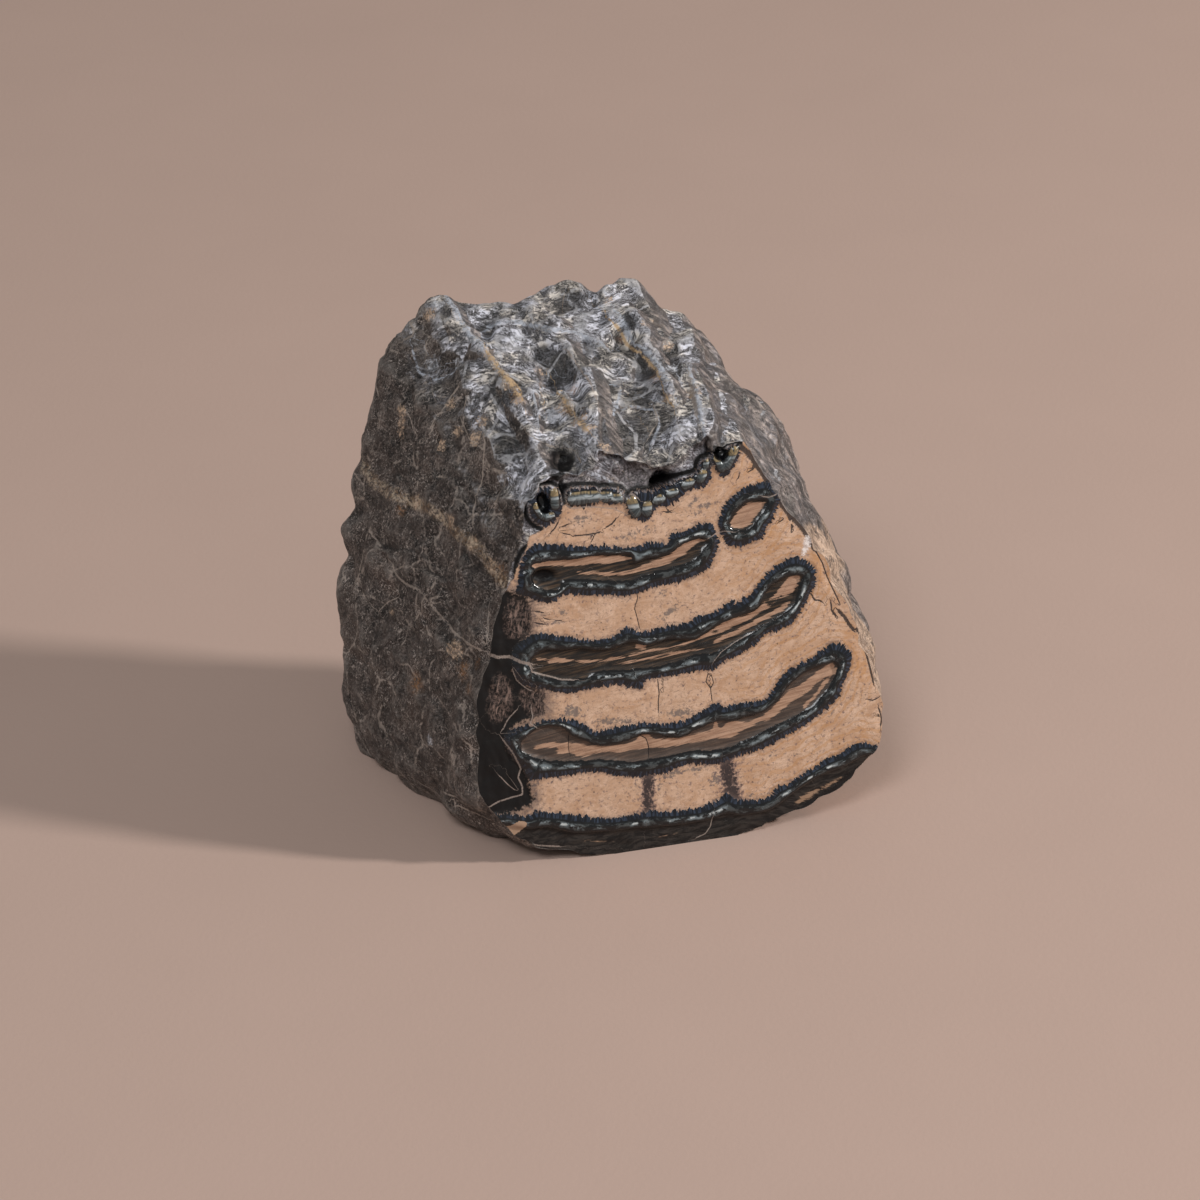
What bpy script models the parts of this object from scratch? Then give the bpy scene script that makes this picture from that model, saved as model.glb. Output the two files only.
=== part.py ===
"""A broken piece of a Columbian mammoth's molar, with its chewing face ground flat, as one solid.

The tooth's own axes run through the whole script. Its ground face is a plane that leans back. On that
plane u runs to the right and v up, in millimetres. The tooth is a stack of plates, one every PLATE_PITCH
along v, and each plate is a row of fingers that run straight into the tooth from the ground face. Where
a plate meets the ground face, its hard enamel is a closed band that stands a little proud.
"""

import math

import bmesh
import bpy
from mathutils import Matrix, Vector, noise

MM = 0.001
NAME = "columbian_mammoth_molar"

# Driving dimensions, in millimetres and degrees
FACE_TURN = 15.0
FACE_LEAN = 17.0
FACE_FOOT = (0.0, -35.4)
PLATE_PITCH = 17.6
LOWEST_PLATE = 5.0
FINGER_PITCH = 9.5
FIRST_FINGER = 4.5
ENAMEL_RISE = 0.6
ENAMEL_SUNK = 1.2
ENAMEL_STEPS = 2

# The rough outside: its middle, how sharply its flat sides meet, and how far it runs past the flat cuts
MIDDLE = Vector((2.0, 2.0, 36.0))
SHARPNESS = 26.0
SWELL = 1.02
FLATTEN = 9.0
OVERCUT = 14.0
SPHERE_LEVEL = 6
BODY_TRIANGLES = 6400

# The corners of the ground face, as (u, v)
FACE_CORNERS = (
    (-17.5, 54.5), (-20.8, 41.0), (-24.3, 27.0), (-26.6, 17.0), (-24.0, 12.5), (-19.5, 7.0), (-13.0, 3.0),
    (4.0, -1.5), (19.0, -1.5), (41.0, 3.6), (50.5, 7.3), (55.0, 12.0), (57.8, 22.0), (54.5, 36.0),
    (47.3, 53.0), (43.0, 61.5), (37.5, 70.5), (33.0, 78.5), (14.0, 76.0), (-8.0, 76.0), (-12.5, 66.0),
)

# The corners of the broken outside behind the ground face, as (x, y, z)
OUTER_CORNERS = (
    (-53.5, 4.0, 3.0), (-55.6, 8.0, 10.6), (-55.0, 15.0, 27.6), (-51.5, 23.0, 51.0), (-51.0, 25.0, 59.0),
    (-46.0, 31.0, 75.0), (-40.5, 35.0, 82.5), (-34.0, 37.0, 86.0), (-14.0, 39.0, 84.5), (-8.0, 39.0, 87.0),
    (5.3, 38.0, 88.5), (15.4, 34.0, 83.0), (24.7, 25.0, 71.2), (35.2, 16.0, 62.6), (38.0, 9.0, 55.5),
    (46.0, 13.0, 40.0), (53.0, 7.0, 20.0), (51.0, 4.0, 8.0),
    (-49.0, 4.0, -4.0), (-32.0, -17.0, -4.0), (-20.0, -29.0, -4.0), (39.0, -4.0, -4.0), (34.0, 13.0, -4.0),
    (0.0, 18.0, -4.0), (-36.0, 16.0, -4.0),
    (44.0, 20.0, 14.0), (0.0, 25.0, 14.0), (-44.0, 21.0, 14.0), (-28.0, 31.0, 45.0), (8.0, 30.0, 48.0),
    (38.0, 22.0, 42.0),
)

# Ridges along the broken top, each as its points (x, y, z), with its half width and height
RIDGES = (
    (((-11.0, 24.0, 84.0), (-3.5, 8.5, 80.0), (-1.0, -8.0, 76.0)), 4.0, 2.4),
    (((0.0, 32.0, 87.0), (6.8, 18.3, 82.5), (11.1, 4.0, 79.5)), 4.0, 2.6),
    (((15.0, 24.0, 82.0), (17.0, 10.0, 80.0), (19.0, -3.0, 77.0)), 4.5, 2.0),
    (((-31.0, 30.0, 84.5), (-21.5, 11.8, 78.5), (-14.0, -5.0, 75.0)), 4.0, 1.6),
)

# Knobs (positive) and hollows (negative) on the broken outside, as (x, y, z, reach, height)
KNOBS = (
    (-34.0, 35.0, 86.0, 6.0, 3.0), (-8.0, 38.0, 87.0, 6.0, 1.8), (5.5, 37.0, 88.0, 5.0, 2.4),
    (33.0, 17.0, 66.0, 7.0, 3.4), (-51.0, 20.5, 50.0, 5.0, 2.0), (-52.0, 16.0, 43.0, 4.5, 1.8),
    (-53.0, 14.5, 34.0, 5.0, 1.4), (1.0, -12.0, 74.0, 2.6, 1.4), (-45.0, 28.0, 72.0, 6.0, 1.4),
    (-34.4, 22.0, 78.0, 6.0, -2.4), (-25.0, 34.0, 84.0, 7.0, -2.6), (-2.5, 37.0, 87.0, 3.5, -1.8),
    (-11.0, 13.0, 81.0, 5.0, -2.2), (0.5, 7.0, 79.5, 4.0, -2.0), (5.0, -4.5, 77.0, 5.5, -3.0),
    (-9.0, -10.0, 75.0, 3.5, -4.0), (10.2, -9.5, 72.5, 4.0, -3.5), (22.0, -4.5, 77.0, 3.0, -2.5),
    (-50.0, 21.0, 55.0, 3.2, -2.2), (-50.5, 18.0, 46.5, 2.8, -2.0), (-52.0, 15.0, 38.5, 2.8, -1.6),
    (-25.5, -4.0, 66.0, 5.0, -1.0), (8.0, -6.0, 62.0, 4.0, 0.0),
)

# The enamel bands on the ground face, as outlines of (u, v): the outer edge, and the inner one if closed
BANDS = {
    "low band": (
        ((-21.0, 11.0), (-16.0, 10.4), (-11.9, 10.5), (-6.1, 9.1), (-1.0, 7.8), (6.0, 7.6), (12.6, 7.1),
         (18.1, 6.8), (22.0, 7.8), (24.0, 8.8), (28.1, 7.2), (33.0, 7.3), (37.2, 9.2), (42.0, 11.4),
         (47.5, 13.6), (51.6, 14.6), (52.6, 13.2), (51.0, 11.2), (46.2, 10.3), (41.4, 9.0), (36.5, 6.4),
         (32.0, 4.3), (26.8, 4.1), (20.0, 4.3), (12.0, 4.2), (5.0, 4.9), (-2.6, 5.6), (-7.4, 6.0),
         (-11.9, 7.9), (-16.0, 8.2), (-20.5, 9.3)),
    ),
    "long loop": (
        ((-19.0, 26.6), (-15.8, 28.3), (-11.9, 28.8), (-7.4, 28.6), (-4.5, 27.6), (-2.3, 25.8), (1.0, 25.2),
         (6.0, 25.5), (11.0, 25.2), (15.0, 24.5), (19.4, 25.6), (23.6, 27.2), (28.0, 26.7), (32.5, 26.7),
         (35.5, 29.0), (38.5, 32.2), (42.5, 33.8), (46.5, 35.4), (49.1, 35.6), (51.1, 33.2), (51.0, 30.8),
         (49.2, 28.0), (48.2, 25.3), (44.5, 22.5), (40.4, 20.3), (35.5, 18.4), (30.1, 16.6), (25.0, 15.7),
         (19.7, 15.6), (14.0, 15.8), (8.7, 15.2), (4.0, 15.6), (-1.0, 17.2), (-6.8, 17.4), (-12.6, 17.8),
         (-15.5, 18.6), (-17.1, 21.7), (-18.6, 24.2)),
        ((-15.6, 24.4), (-14.8, 26.2), (-10.6, 27.6), (-7.6, 26.9), (-4.5, 24.4), (-1.5, 22.8), (3.0, 22.4),
         (7.5, 23.3), (13.0, 22.2), (17.8, 22.3), (22.5, 23.4), (28.1, 23.8), (33.5, 24.4), (36.2, 27.0),
         (39.7, 30.1), (44.0, 31.9), (47.4, 32.2), (48.2, 30.8), (46.4, 27.8), (43.0, 24.6), (38.0, 22.4),
         (32.0, 20.4), (26.2, 18.8), (19.7, 18.4), (13.0, 18.6), (7.4, 18.0), (2.3, 18.8), (-3.0, 20.0),
         (-8.5, 20.4), (-12.5, 21.4), (-15.0, 22.8)),
    ),
    "middle loop": (
        ((-16.1, 42.3), (-14.5, 44.8), (-11.0, 46.2), (-6.5, 45.4), (-3.0, 44.3), (0.5, 43.3), (4.5, 43.7),
         (8.5, 44.1), (13.0, 43.9), (18.0, 44.2), (22.0, 45.1), (27.2, 46.5), (31.5, 47.8), (34.0, 50.6),
         (37.8, 53.4), (41.0, 54.2), (44.0, 53.0), (45.2, 50.0), (44.0, 47.0), (42.3, 44.2), (40.1, 41.4),
         (36.5, 40.4), (33.5, 39.2), (29.5, 36.7), (25.5, 35.7), (21.4, 34.3), (16.0, 34.2), (11.6, 34.8),
         (8.6, 32.8), (5.0, 33.9), (0.0, 34.0), (-5.5, 33.8), (-10.0, 35.0), (-13.9, 36.3), (-15.8, 39.0)),
        ((-12.5, 40.2), (-11.6, 42.4), (-8.5, 43.1), (-4.5, 42.5), (0.0, 41.4), (4.0, 41.4), (8.0, 42.0),
         (10.3, 40.8), (15.2, 41.5), (20.0, 41.0), (24.5, 42.9), (29.5, 44.2), (33.0, 45.3), (35.5, 48.8),
         (38.8, 50.5), (42.0, 50.6), (41.2, 47.6), (39.3, 44.2), (35.0, 42.3), (30.5, 40.4), (25.9, 38.4),
         (21.5, 37.9), (16.0, 37.0), (10.0, 36.7), (4.5, 36.9), (0.0, 37.2), (-4.8, 36.3), (-9.0, 37.3),
         (-11.9, 38.4)),
    ),
    "short loop": (
        ((-13.0, 61.0), (-10.8, 63.2), (-7.0, 63.4), (-3.0, 62.9), (1.0, 61.7), (6.5, 61.0), (11.5, 60.9),
         (15.5, 60.9), (17.2, 62.1), (21.0, 62.8), (24.3, 63.3), (25.7, 61.4), (26.0, 58.2), (24.6, 55.6),
         (21.4, 53.2), (16.2, 52.9), (11.9, 52.1), (7.8, 51.4), (3.2, 52.1), (-1.9, 52.9), (-6.1, 52.4),
         (-10.5, 52.7), (-13.4, 54.5), (-14.2, 56.5), (-13.9, 59.0)),
        ((-11.4, 57.0), (-10.6, 59.3), (-6.0, 60.1), (-1.0, 59.8), (4.0, 59.8), (8.5, 58.2), (11.6, 57.9),
         (16.2, 58.3), (19.0, 60.0), (23.4, 60.5), (24.2, 59.0), (21.6, 56.8), (16.8, 55.6), (10.5, 55.4),
         (6.5, 54.3), (1.5, 54.9), (-3.0, 56.0), (-6.5, 54.5), (-9.8, 55.2)),
    ),
    "ring": (
        ((26.5, 62.4), (27.2, 65.0), (28.9, 67.1), (31.4, 68.8), (34.4, 69.5), (36.8, 69.0), (38.0, 67.0),
         (38.0, 64.4), (36.6, 61.8), (35.2, 59.5), (32.0, 57.9), (28.9, 58.2), (27.0, 60.0)),
        ((28.7, 62.2), (29.8, 64.6), (32.4, 66.4), (35.7, 66.4), (35.3, 64.5), (33.4, 62.2), (31.2, 61.0)),
    ),
    "broken ring": (
        ((-10.0, 71.0), (-9.4, 73.2), (-7.0, 74.2), (-4.8, 73.2), (-4.2, 70.8), (-5.2, 68.6), (-7.4, 67.9),
         (-9.4, 69.0)),
        ((-8.6, 71.4), (-7.8, 72.6), (-6.4, 72.0), (-6.2, 70.4), (-7.4, 69.6)),
    ),
    "left barrel": (
        ((-2.8, 71.8), (-2.0, 73.2), (0.5, 73.0), (2.9, 72.6), (2.9, 70.4), (0.5, 70.4), (-2.0, 70.6)),
    ),
    "right barrel": (
        ((3.5, 71.4), (4.0, 72.5), (6.5, 72.2), (7.8, 71.2), (7.2, 69.9), (4.2, 70.0)),
    ),
    "broken edge": (
        ((9.3, 69.5), (9.0, 67.5), (10.5, 65.9), (12.5, 66.0), (14.2, 67.2), (17.0, 68.2), (20.5, 69.5),
         (23.5, 70.4), (25.2, 72.2), (25.2, 74.6), (24.0, 75.0), (23.2, 73.4), (20.0, 72.6), (17.5, 71.8),
         (14.0, 70.4), (12.0, 69.3)),
    ),
    "broken tip": (
        ((26.3, 75.0), (27.0, 73.8), (28.2, 72.2), (30.0, 73.6), (31.2, 75.6), (31.2, 77.0), (30.2, 76.6),
         (28.4, 74.8)),
    ),
}


def face_axes():
    """The ground face as (foot, across, upward, out), where out points out of the tooth."""
    turn, lean = math.radians(FACE_TURN), math.radians(FACE_LEAN)
    out = Vector((math.sin(turn) * math.cos(lean), -math.cos(turn) * math.cos(lean), math.sin(lean)))
    across = Vector((math.cos(turn), math.sin(turn), 0.0))
    return Vector((*FACE_FOOT, 0.0)), across, out.cross(across), out


FOOT, ACROSS, UPWARD, OUT = face_axes()


def on_face(u, v):
    """The point at (u, v) on the ground face."""
    return FOOT + ACROSS * u + UPWARD * v


def tooth_place(point):
    """The point's (u, v) along the tooth's own axes."""
    return (point - FOOT).dot(ACROSS), (point - FOOT).dot(UPWARD)


def outer_planes():
    """The flat sides of the corners' hull, as (normal, distance from MIDDLE).

    The ground face and the base are cut flat afterwards, so the hull itself runs past them there.
    """
    bm = bmesh.new()
    for corner in OUTER_CORNERS:
        bm.verts.new(corner)
    for u, v in FACE_CORNERS:
        bm.verts.new(on_face(u, v))
    bmesh.ops.convex_hull(bm, input=bm.verts)
    bmesh.ops.dissolve_limit(bm, angle_limit=math.radians(FLATTEN), verts=bm.verts, edges=bm.edges)
    planes = [(OUT, (FOOT - MIDDLE).dot(OUT) + OVERCUT)]
    for face in bm.faces:
        if face.normal.dot(OUT) < 0.985:
            planes.append((face.normal.copy(), (face.calc_center_median() - MIDDLE).dot(face.normal)))
    bm.free()
    return planes


def smooth_radius(direction, planes):
    """How far the outside lies from MIDDLE: the nearest plane, with the corners between planes rounded."""
    total = 0.0
    for normal, reach in planes:
        facing = normal.dot(direction)
        if facing > 0.0:
            total += (facing / reach) ** SHARPNESS
    return SWELL * total ** (-1.0 / SHARPNESS)


def ease(value, low, high):
    """0 below low, 1 above high, and a smooth step between them."""
    t = min(max((value - low) / (high - low), 0.0), 1.0)
    return t * t * (3.0 - 2.0 * t)


def repeated_ridge(place, pitch, first):
    """A rounded ridge every pitch from first, with a narrow valley between ridges."""
    return abs(math.cos(math.pi * (place - first) / pitch)) - 0.6


def tooth_relief(point, facing):
    """The fingers of the broken plate along the top, and the plates' ends on the back and the right."""
    u, v = tooth_place(point)
    wander = 2.5 * noise.noise(point / 14.0)
    top = ease(facing.z, 0.45, 0.8)
    rear = ease(facing.y, 0.25, 0.7) * (1.0 - top)
    fingers = repeated_ridge(u + wander, FINGER_PITCH, FIRST_FINGER)
    plates = repeated_ridge(v + wander, PLATE_PITCH, LOWEST_PLATE)
    return 1.0 * top * fingers + rear * (2.6 * plates + 1.2 * fingers)


def rock_relief(point):
    """The surface of broken tooth: rounded knuckles with creases between them, and roughness."""
    near, following = noise.voronoi(point / 11.0)[0][:2]
    knuckles = min(following - near, 0.5) - 0.25
    return 2.2 * knuckles + 0.9 * noise.fractal(point / 9.0, 0.9, 2.1, 3)


def stretch_distance(point, start, end):
    """How far the point lies from the straight stretch between start and end."""
    along = end - start
    t = min(max((point - start).dot(along) / along.length_squared, 0.0), 1.0)
    return (point - start - along * t).length


def named_relief(point):
    """The named ridges, knobs and hollows, each fading out over its width or reach."""
    relief = 0.0
    for places, half_width, height in RIDGES:
        line = [Vector(place) for place in places]
        near = min(stretch_distance(point, start, end) for start, end in zip(line, line[1:]))
        relief += height * (1.0 - ease(near, 0.0, half_width))
    for x, y, z, reach, height in KNOBS:
        relief += height * math.exp(-((point - Vector((x, y, z))).length_squared) / reach**2)
    return relief


def shape_rough():
    """The rough outside: a ball pushed out to the rounded hull, then roughened along its own rays."""
    bm = bmesh.new()
    bmesh.ops.create_icosphere(bm, subdivisions=SPHERE_LEVEL, radius=1.0)
    rays = [vert.co.copy() for vert in bm.verts]
    planes = outer_planes()
    for vert, ray in zip(bm.verts, rays):
        vert.co = MIDDLE + ray * smooth_radius(ray, planes)
    bm.normal_update()
    reliefs = [
        tooth_relief(vert.co, vert.normal) + rock_relief(vert.co) + named_relief(vert.co) for vert in bm.verts
    ]
    for vert, ray, relief in zip(bm.verts, rays, reliefs):
        vert.co += ray * relief
    mesh = bpy.data.meshes.new("rough")
    bm.to_mesh(mesh)
    bm.free()
    return mesh


def thin_mesh(mesh, triangles):
    """The same shape with about that many triangles, as a new mesh."""
    guide = bpy.data.objects.new("guide", mesh)
    bpy.context.scene.collection.objects.link(guide)
    thin = guide.modifiers.new("thin", "DECIMATE")
    thin.ratio = triangles / len(mesh.polygons)
    graph = bpy.context.evaluated_depsgraph_get()
    thinned = bpy.data.meshes.new_from_object(guide.evaluated_get(graph))
    bpy.data.objects.remove(guide)
    return thinned


def cut_flat(bm, point, out):
    """Cut away what lies beyond a plane, and close the cut with one flat face."""
    everything = bm.verts[:] + bm.edges[:] + bm.faces[:]
    cut = bmesh.ops.bisect_plane(bm, geom=everything, plane_co=point, plane_no=out, clear_outer=True)
    rim = [item for item in cut["geom_cut"] if isinstance(item, bmesh.types.BMEdge)]
    bmesh.ops.contextual_create(bm, geom=rim)


def make_body(collection):
    """The molar without its enamel bands: the rough outside, ground flat in front and flat beneath."""
    bm = bmesh.new()
    bm.from_mesh(thin_mesh(shape_rough(), BODY_TRIANGLES))
    cut_flat(bm, FOOT, OUT)
    cut_flat(bm, Vector(), Vector((0.0, 0.0, -1.0)))
    bmesh.ops.scale(bm, vec=(MM, MM, MM), verts=bm.verts)
    mesh = bpy.data.meshes.new("molar")
    bm.to_mesh(mesh)
    bm.free()
    body = bpy.data.objects.new("molar", mesh)
    collection.objects.link(body)
    return body


def face_matrix():
    """From (u, v, out) on the ground face, in metres, to the world."""
    axes = Matrix((ACROSS, UPWARD, OUT)).transposed().to_4x4()
    return Matrix.Translation(FOOT * MM) @ axes


def band_curve(name, outlines):
    """A flat closed band on the ground face, as a filled curve, from ENAMEL_SUNK below to ENAMEL_RISE above."""
    curve = bpy.data.curves.new(name, "CURVE")
    curve.dimensions = "2D"
    curve.fill_mode = "BOTH"
    curve.resolution_u = ENAMEL_STEPS
    curve.extrude = (ENAMEL_SUNK + ENAMEL_RISE) / 2 * MM
    for outline in outlines:
        spline = curve.splines.new("BEZIER")
        spline.bezier_points.add(len(outline) - 1)
        spline.use_cyclic_u = True
        for point, (u, v) in zip(spline.bezier_points, outline):
            point.co = (u * MM, v * MM, 0.0)
            point.handle_left_type = point.handle_right_type = "AUTO"
    return curve


def make_band(name, outlines, collection):
    """The band as a welded mesh that the body is joined with, hidden from the render."""
    curve = bpy.data.objects.new(name, band_curve(name, outlines))
    collection.objects.link(curve)
    graph = bpy.context.evaluated_depsgraph_get()
    mesh = bpy.data.meshes.new_from_object(curve.evaluated_get(graph))
    bpy.data.objects.remove(curve)
    bm = bmesh.new()
    bm.from_mesh(mesh)
    bmesh.ops.remove_doubles(bm, verts=bm.verts, dist=0.01 * MM)
    bmesh.ops.recalc_face_normals(bm, faces=bm.faces)
    bm.to_mesh(mesh)
    bm.free()
    band = bpy.data.objects.new(name, mesh)
    collection.objects.link(band)
    band.matrix_world = face_matrix() @ Matrix.Translation((0, 0, (ENAMEL_RISE - ENAMEL_SUNK) / 2 * MM))
    band.hide_render = True
    band.display_type = "WIRE"
    return band


def join_bands(body, collection):
    """Grow every enamel band onto the body, so that the molar stays one solid."""
    for name, outlines in BANDS.items():
        join = body.modifiers.new(name, "BOOLEAN")
        join.operation = "UNION"
        join.solver = "EXACT"
        join.object = make_band(name, outlines, collection)


def fossil_material():
    """Dark mineralised tooth."""
    material = bpy.data.materials.new("fossil tooth")
    material.use_nodes = True
    shader = material.node_tree.nodes["Principled BSDF"]
    shader.inputs["Base Color"].default_value = (0.06, 0.052, 0.048, 1.0)
    shader.inputs["Roughness"].default_value = 0.55
    shader.inputs["Metallic"].default_value = 0.0
    return material


def new_collection(name):
    collection = bpy.data.collections.new(name)
    bpy.context.scene.collection.children.link(collection)
    return collection


def clear_scene():
    for thing in list(bpy.data.objects):
        bpy.data.objects.remove(thing)


def main():
    clear_scene()
    body = make_body(new_collection(NAME))
    body.data.materials.append(fossil_material())
    join_bands(body, new_collection("enamel bands"))


main()
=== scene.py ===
"""The molar's fine surface, its colours, a pale floor, soft light and the photo's viewing angle.

The tooth's own axes run through the script, in millimetres. On the ground face u runs to the right and v
up. Every marking is a shape on the ground face, as (u, v), or a line or a spot on the broken outside.
"""

import math

import bmesh
import bpy
import numpy as np
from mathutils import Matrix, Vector, geometry, noise


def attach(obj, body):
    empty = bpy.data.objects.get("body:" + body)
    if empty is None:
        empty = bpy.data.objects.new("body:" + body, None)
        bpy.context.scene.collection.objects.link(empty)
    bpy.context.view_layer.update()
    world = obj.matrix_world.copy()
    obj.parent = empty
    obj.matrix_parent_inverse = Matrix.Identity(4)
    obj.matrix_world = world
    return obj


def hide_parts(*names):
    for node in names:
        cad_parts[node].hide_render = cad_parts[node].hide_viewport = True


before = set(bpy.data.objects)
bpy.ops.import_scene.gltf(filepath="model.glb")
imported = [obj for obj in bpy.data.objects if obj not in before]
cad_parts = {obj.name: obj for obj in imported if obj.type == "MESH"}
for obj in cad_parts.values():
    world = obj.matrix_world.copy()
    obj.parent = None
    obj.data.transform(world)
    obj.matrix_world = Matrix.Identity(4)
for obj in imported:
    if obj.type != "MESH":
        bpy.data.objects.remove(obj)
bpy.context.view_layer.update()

MM = 0.001

# The form, as in the solid model
FACE_TURN = 15.0
FACE_LEAN = 17.0
FACE_FOOT = (0.0, -35.4)
PLATE_PITCH = 17.6
LOWEST_PLATE = 5.0
FINGER_PITCH = 9.5
FIRST_FINGER = 4.5
ENAMEL_RISE = 0.5
MIDDLE = (2.0, 2.0, 36.0)
SHARPNESS = 26.0
SWELL = 1.02
FLATTEN = 9.0
OVERCUT = 14.0

# How fine the surface is
SPHERE_LEVEL = 8
OUTSIDE_TRIANGLES = 144000
FACE_GRID = 0.42

# The rough surface's hollows and strands, and the height that the materials' bumps stand for
BIG_SCOOP = 7.5
SMALL_SCOOP = 2.6
BIG_DEPTH = 1.5
SMALL_DEPTH = 0.4
STRAND_HEIGHT = 0.16
BUMP_HEIGHT = 0.3

# The ground face's corners, as u and v, and the outside's, as x, y and z
FACE_CORNERS = (
    -17.5, 54.5, -20.8, 41, -24.3, 27, -26.6, 17, -24, 12.5, -19.5, 7, -13, 3, 4, -1.5, 19, -1.5, 41, 3.6,
    50.5, 7.3, 55, 12, 57.8, 22, 54.5, 36, 47.3, 53, 43, 61.5, 37.5, 70.5, 33, 78.5, 14, 76, -8, 76,
    -12.5, 66,
)

OUTER_CORNERS = (
    -53.5, 4, 3, -55.6, 8, 10.6, -55, 15, 27.6, -51.5, 23, 51, -51, 25, 59, -46, 31, 75, -40.5, 35, 82.5,
    -34, 37, 86, -14, 39, 84.5, -8, 39, 87, 5.3, 38, 88.5, 15.4, 34, 83, 24.7, 25, 71.2, 35.2, 16, 62.6,
    38, 9, 55.5, 46, 13, 40, 53, 7, 20, 51, 4, 8, -49, 4, -4, -32, -17, -4, -20, -29, -4, 39, -4, -4,
    34, 13, -4, 0, 18, -4, -36, 16, -4, 44, 20, 14, 0, 25, 14, -44, 21, 14, -28, 31, 45, 8, 30, 48,
    38, 22, 42,
)

# Ridges, as the points of a line with its half width and height, and knobs, as x, y, z, reach and height
RIDGES = (
    ((-11, 24, 84, -3.5, 8.5, 80, -1, -8, 76), 4, 2.4),
    ((0, 32, 87, 6.8, 18.3, 82.5, 11.1, 4, 79.5), 4, 2.6), ((15, 24, 82, 17, 10, 80, 19, -3, 77), 4.5, 2),
    ((-31, 30, 84.5, -21.5, 11.8, 78.5, -14, -5, 75), 4, 1.6),
)

KNOBS = (
    (-34, 35, 86, 6, 3), (-8, 38, 87, 6, 1.8), (5.5, 37, 88, 5, 2.4), (33, 17, 66, 7, 3.4),
    (-51, 20.5, 50, 5, 2), (-52, 16, 43, 4.5, 1.8), (-53, 14.5, 34, 5, 1.4), (1, -12, 74, 2.6, 1.4),
    (-45, 28, 72, 6, 1.4), (-34.4, 22, 78, 6, -2.4), (-25, 34, 84, 7, -2.6), (-2.5, 37, 87, 3.5, -1.8),
    (-11, 13, 81, 5, -2.2), (0.5, 7, 79.5, 4, -2), (5, -4.5, 77, 5.5, -3), (-9, -10, 75, 3.5, -4),
    (10.2, -9.5, 72.5, 4, -3.5), (22, -4.5, 77, 3, -2.5), (-50, 21, 55, 3.2, -2.2),
    (-50.5, 18, 46.5, 2.8, -2), (-52, 15, 38.5, 2.8, -1.6), (-25.5, -4, 66, 5, -1),
)

# Small holes (deep and narrow) and small lumps, only in the fine surface
FINE_KNOBS = (
    (-9, -8, 73, 1.5, -3), (-10, -13, 73, 1.2, -2), (10, -11, 69.5, 1.8, -3), (12.5, -11, 70, 1.5, -2.5),
    (20, -7, 74.5, 1.3, -2.5), (1, -11.8, 73.2, 1.7, 1.5), (-2.1, -10.8, 75.4, 1.4, 1.4),
    (-4.6, -9.8, 76, 1.1, 0.9), (5.6, -11, 74, 1.8, 0.9), (-14, 14, 81, 2, 0.9), (6, 18, 84, 1.6, 0.7),
    (-43, 3, 41, 2.2, 1.2), (-39, -1, 44, 2.2, 1.2), (-47, 8, 41, 2.6, 1.2),
)

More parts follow.
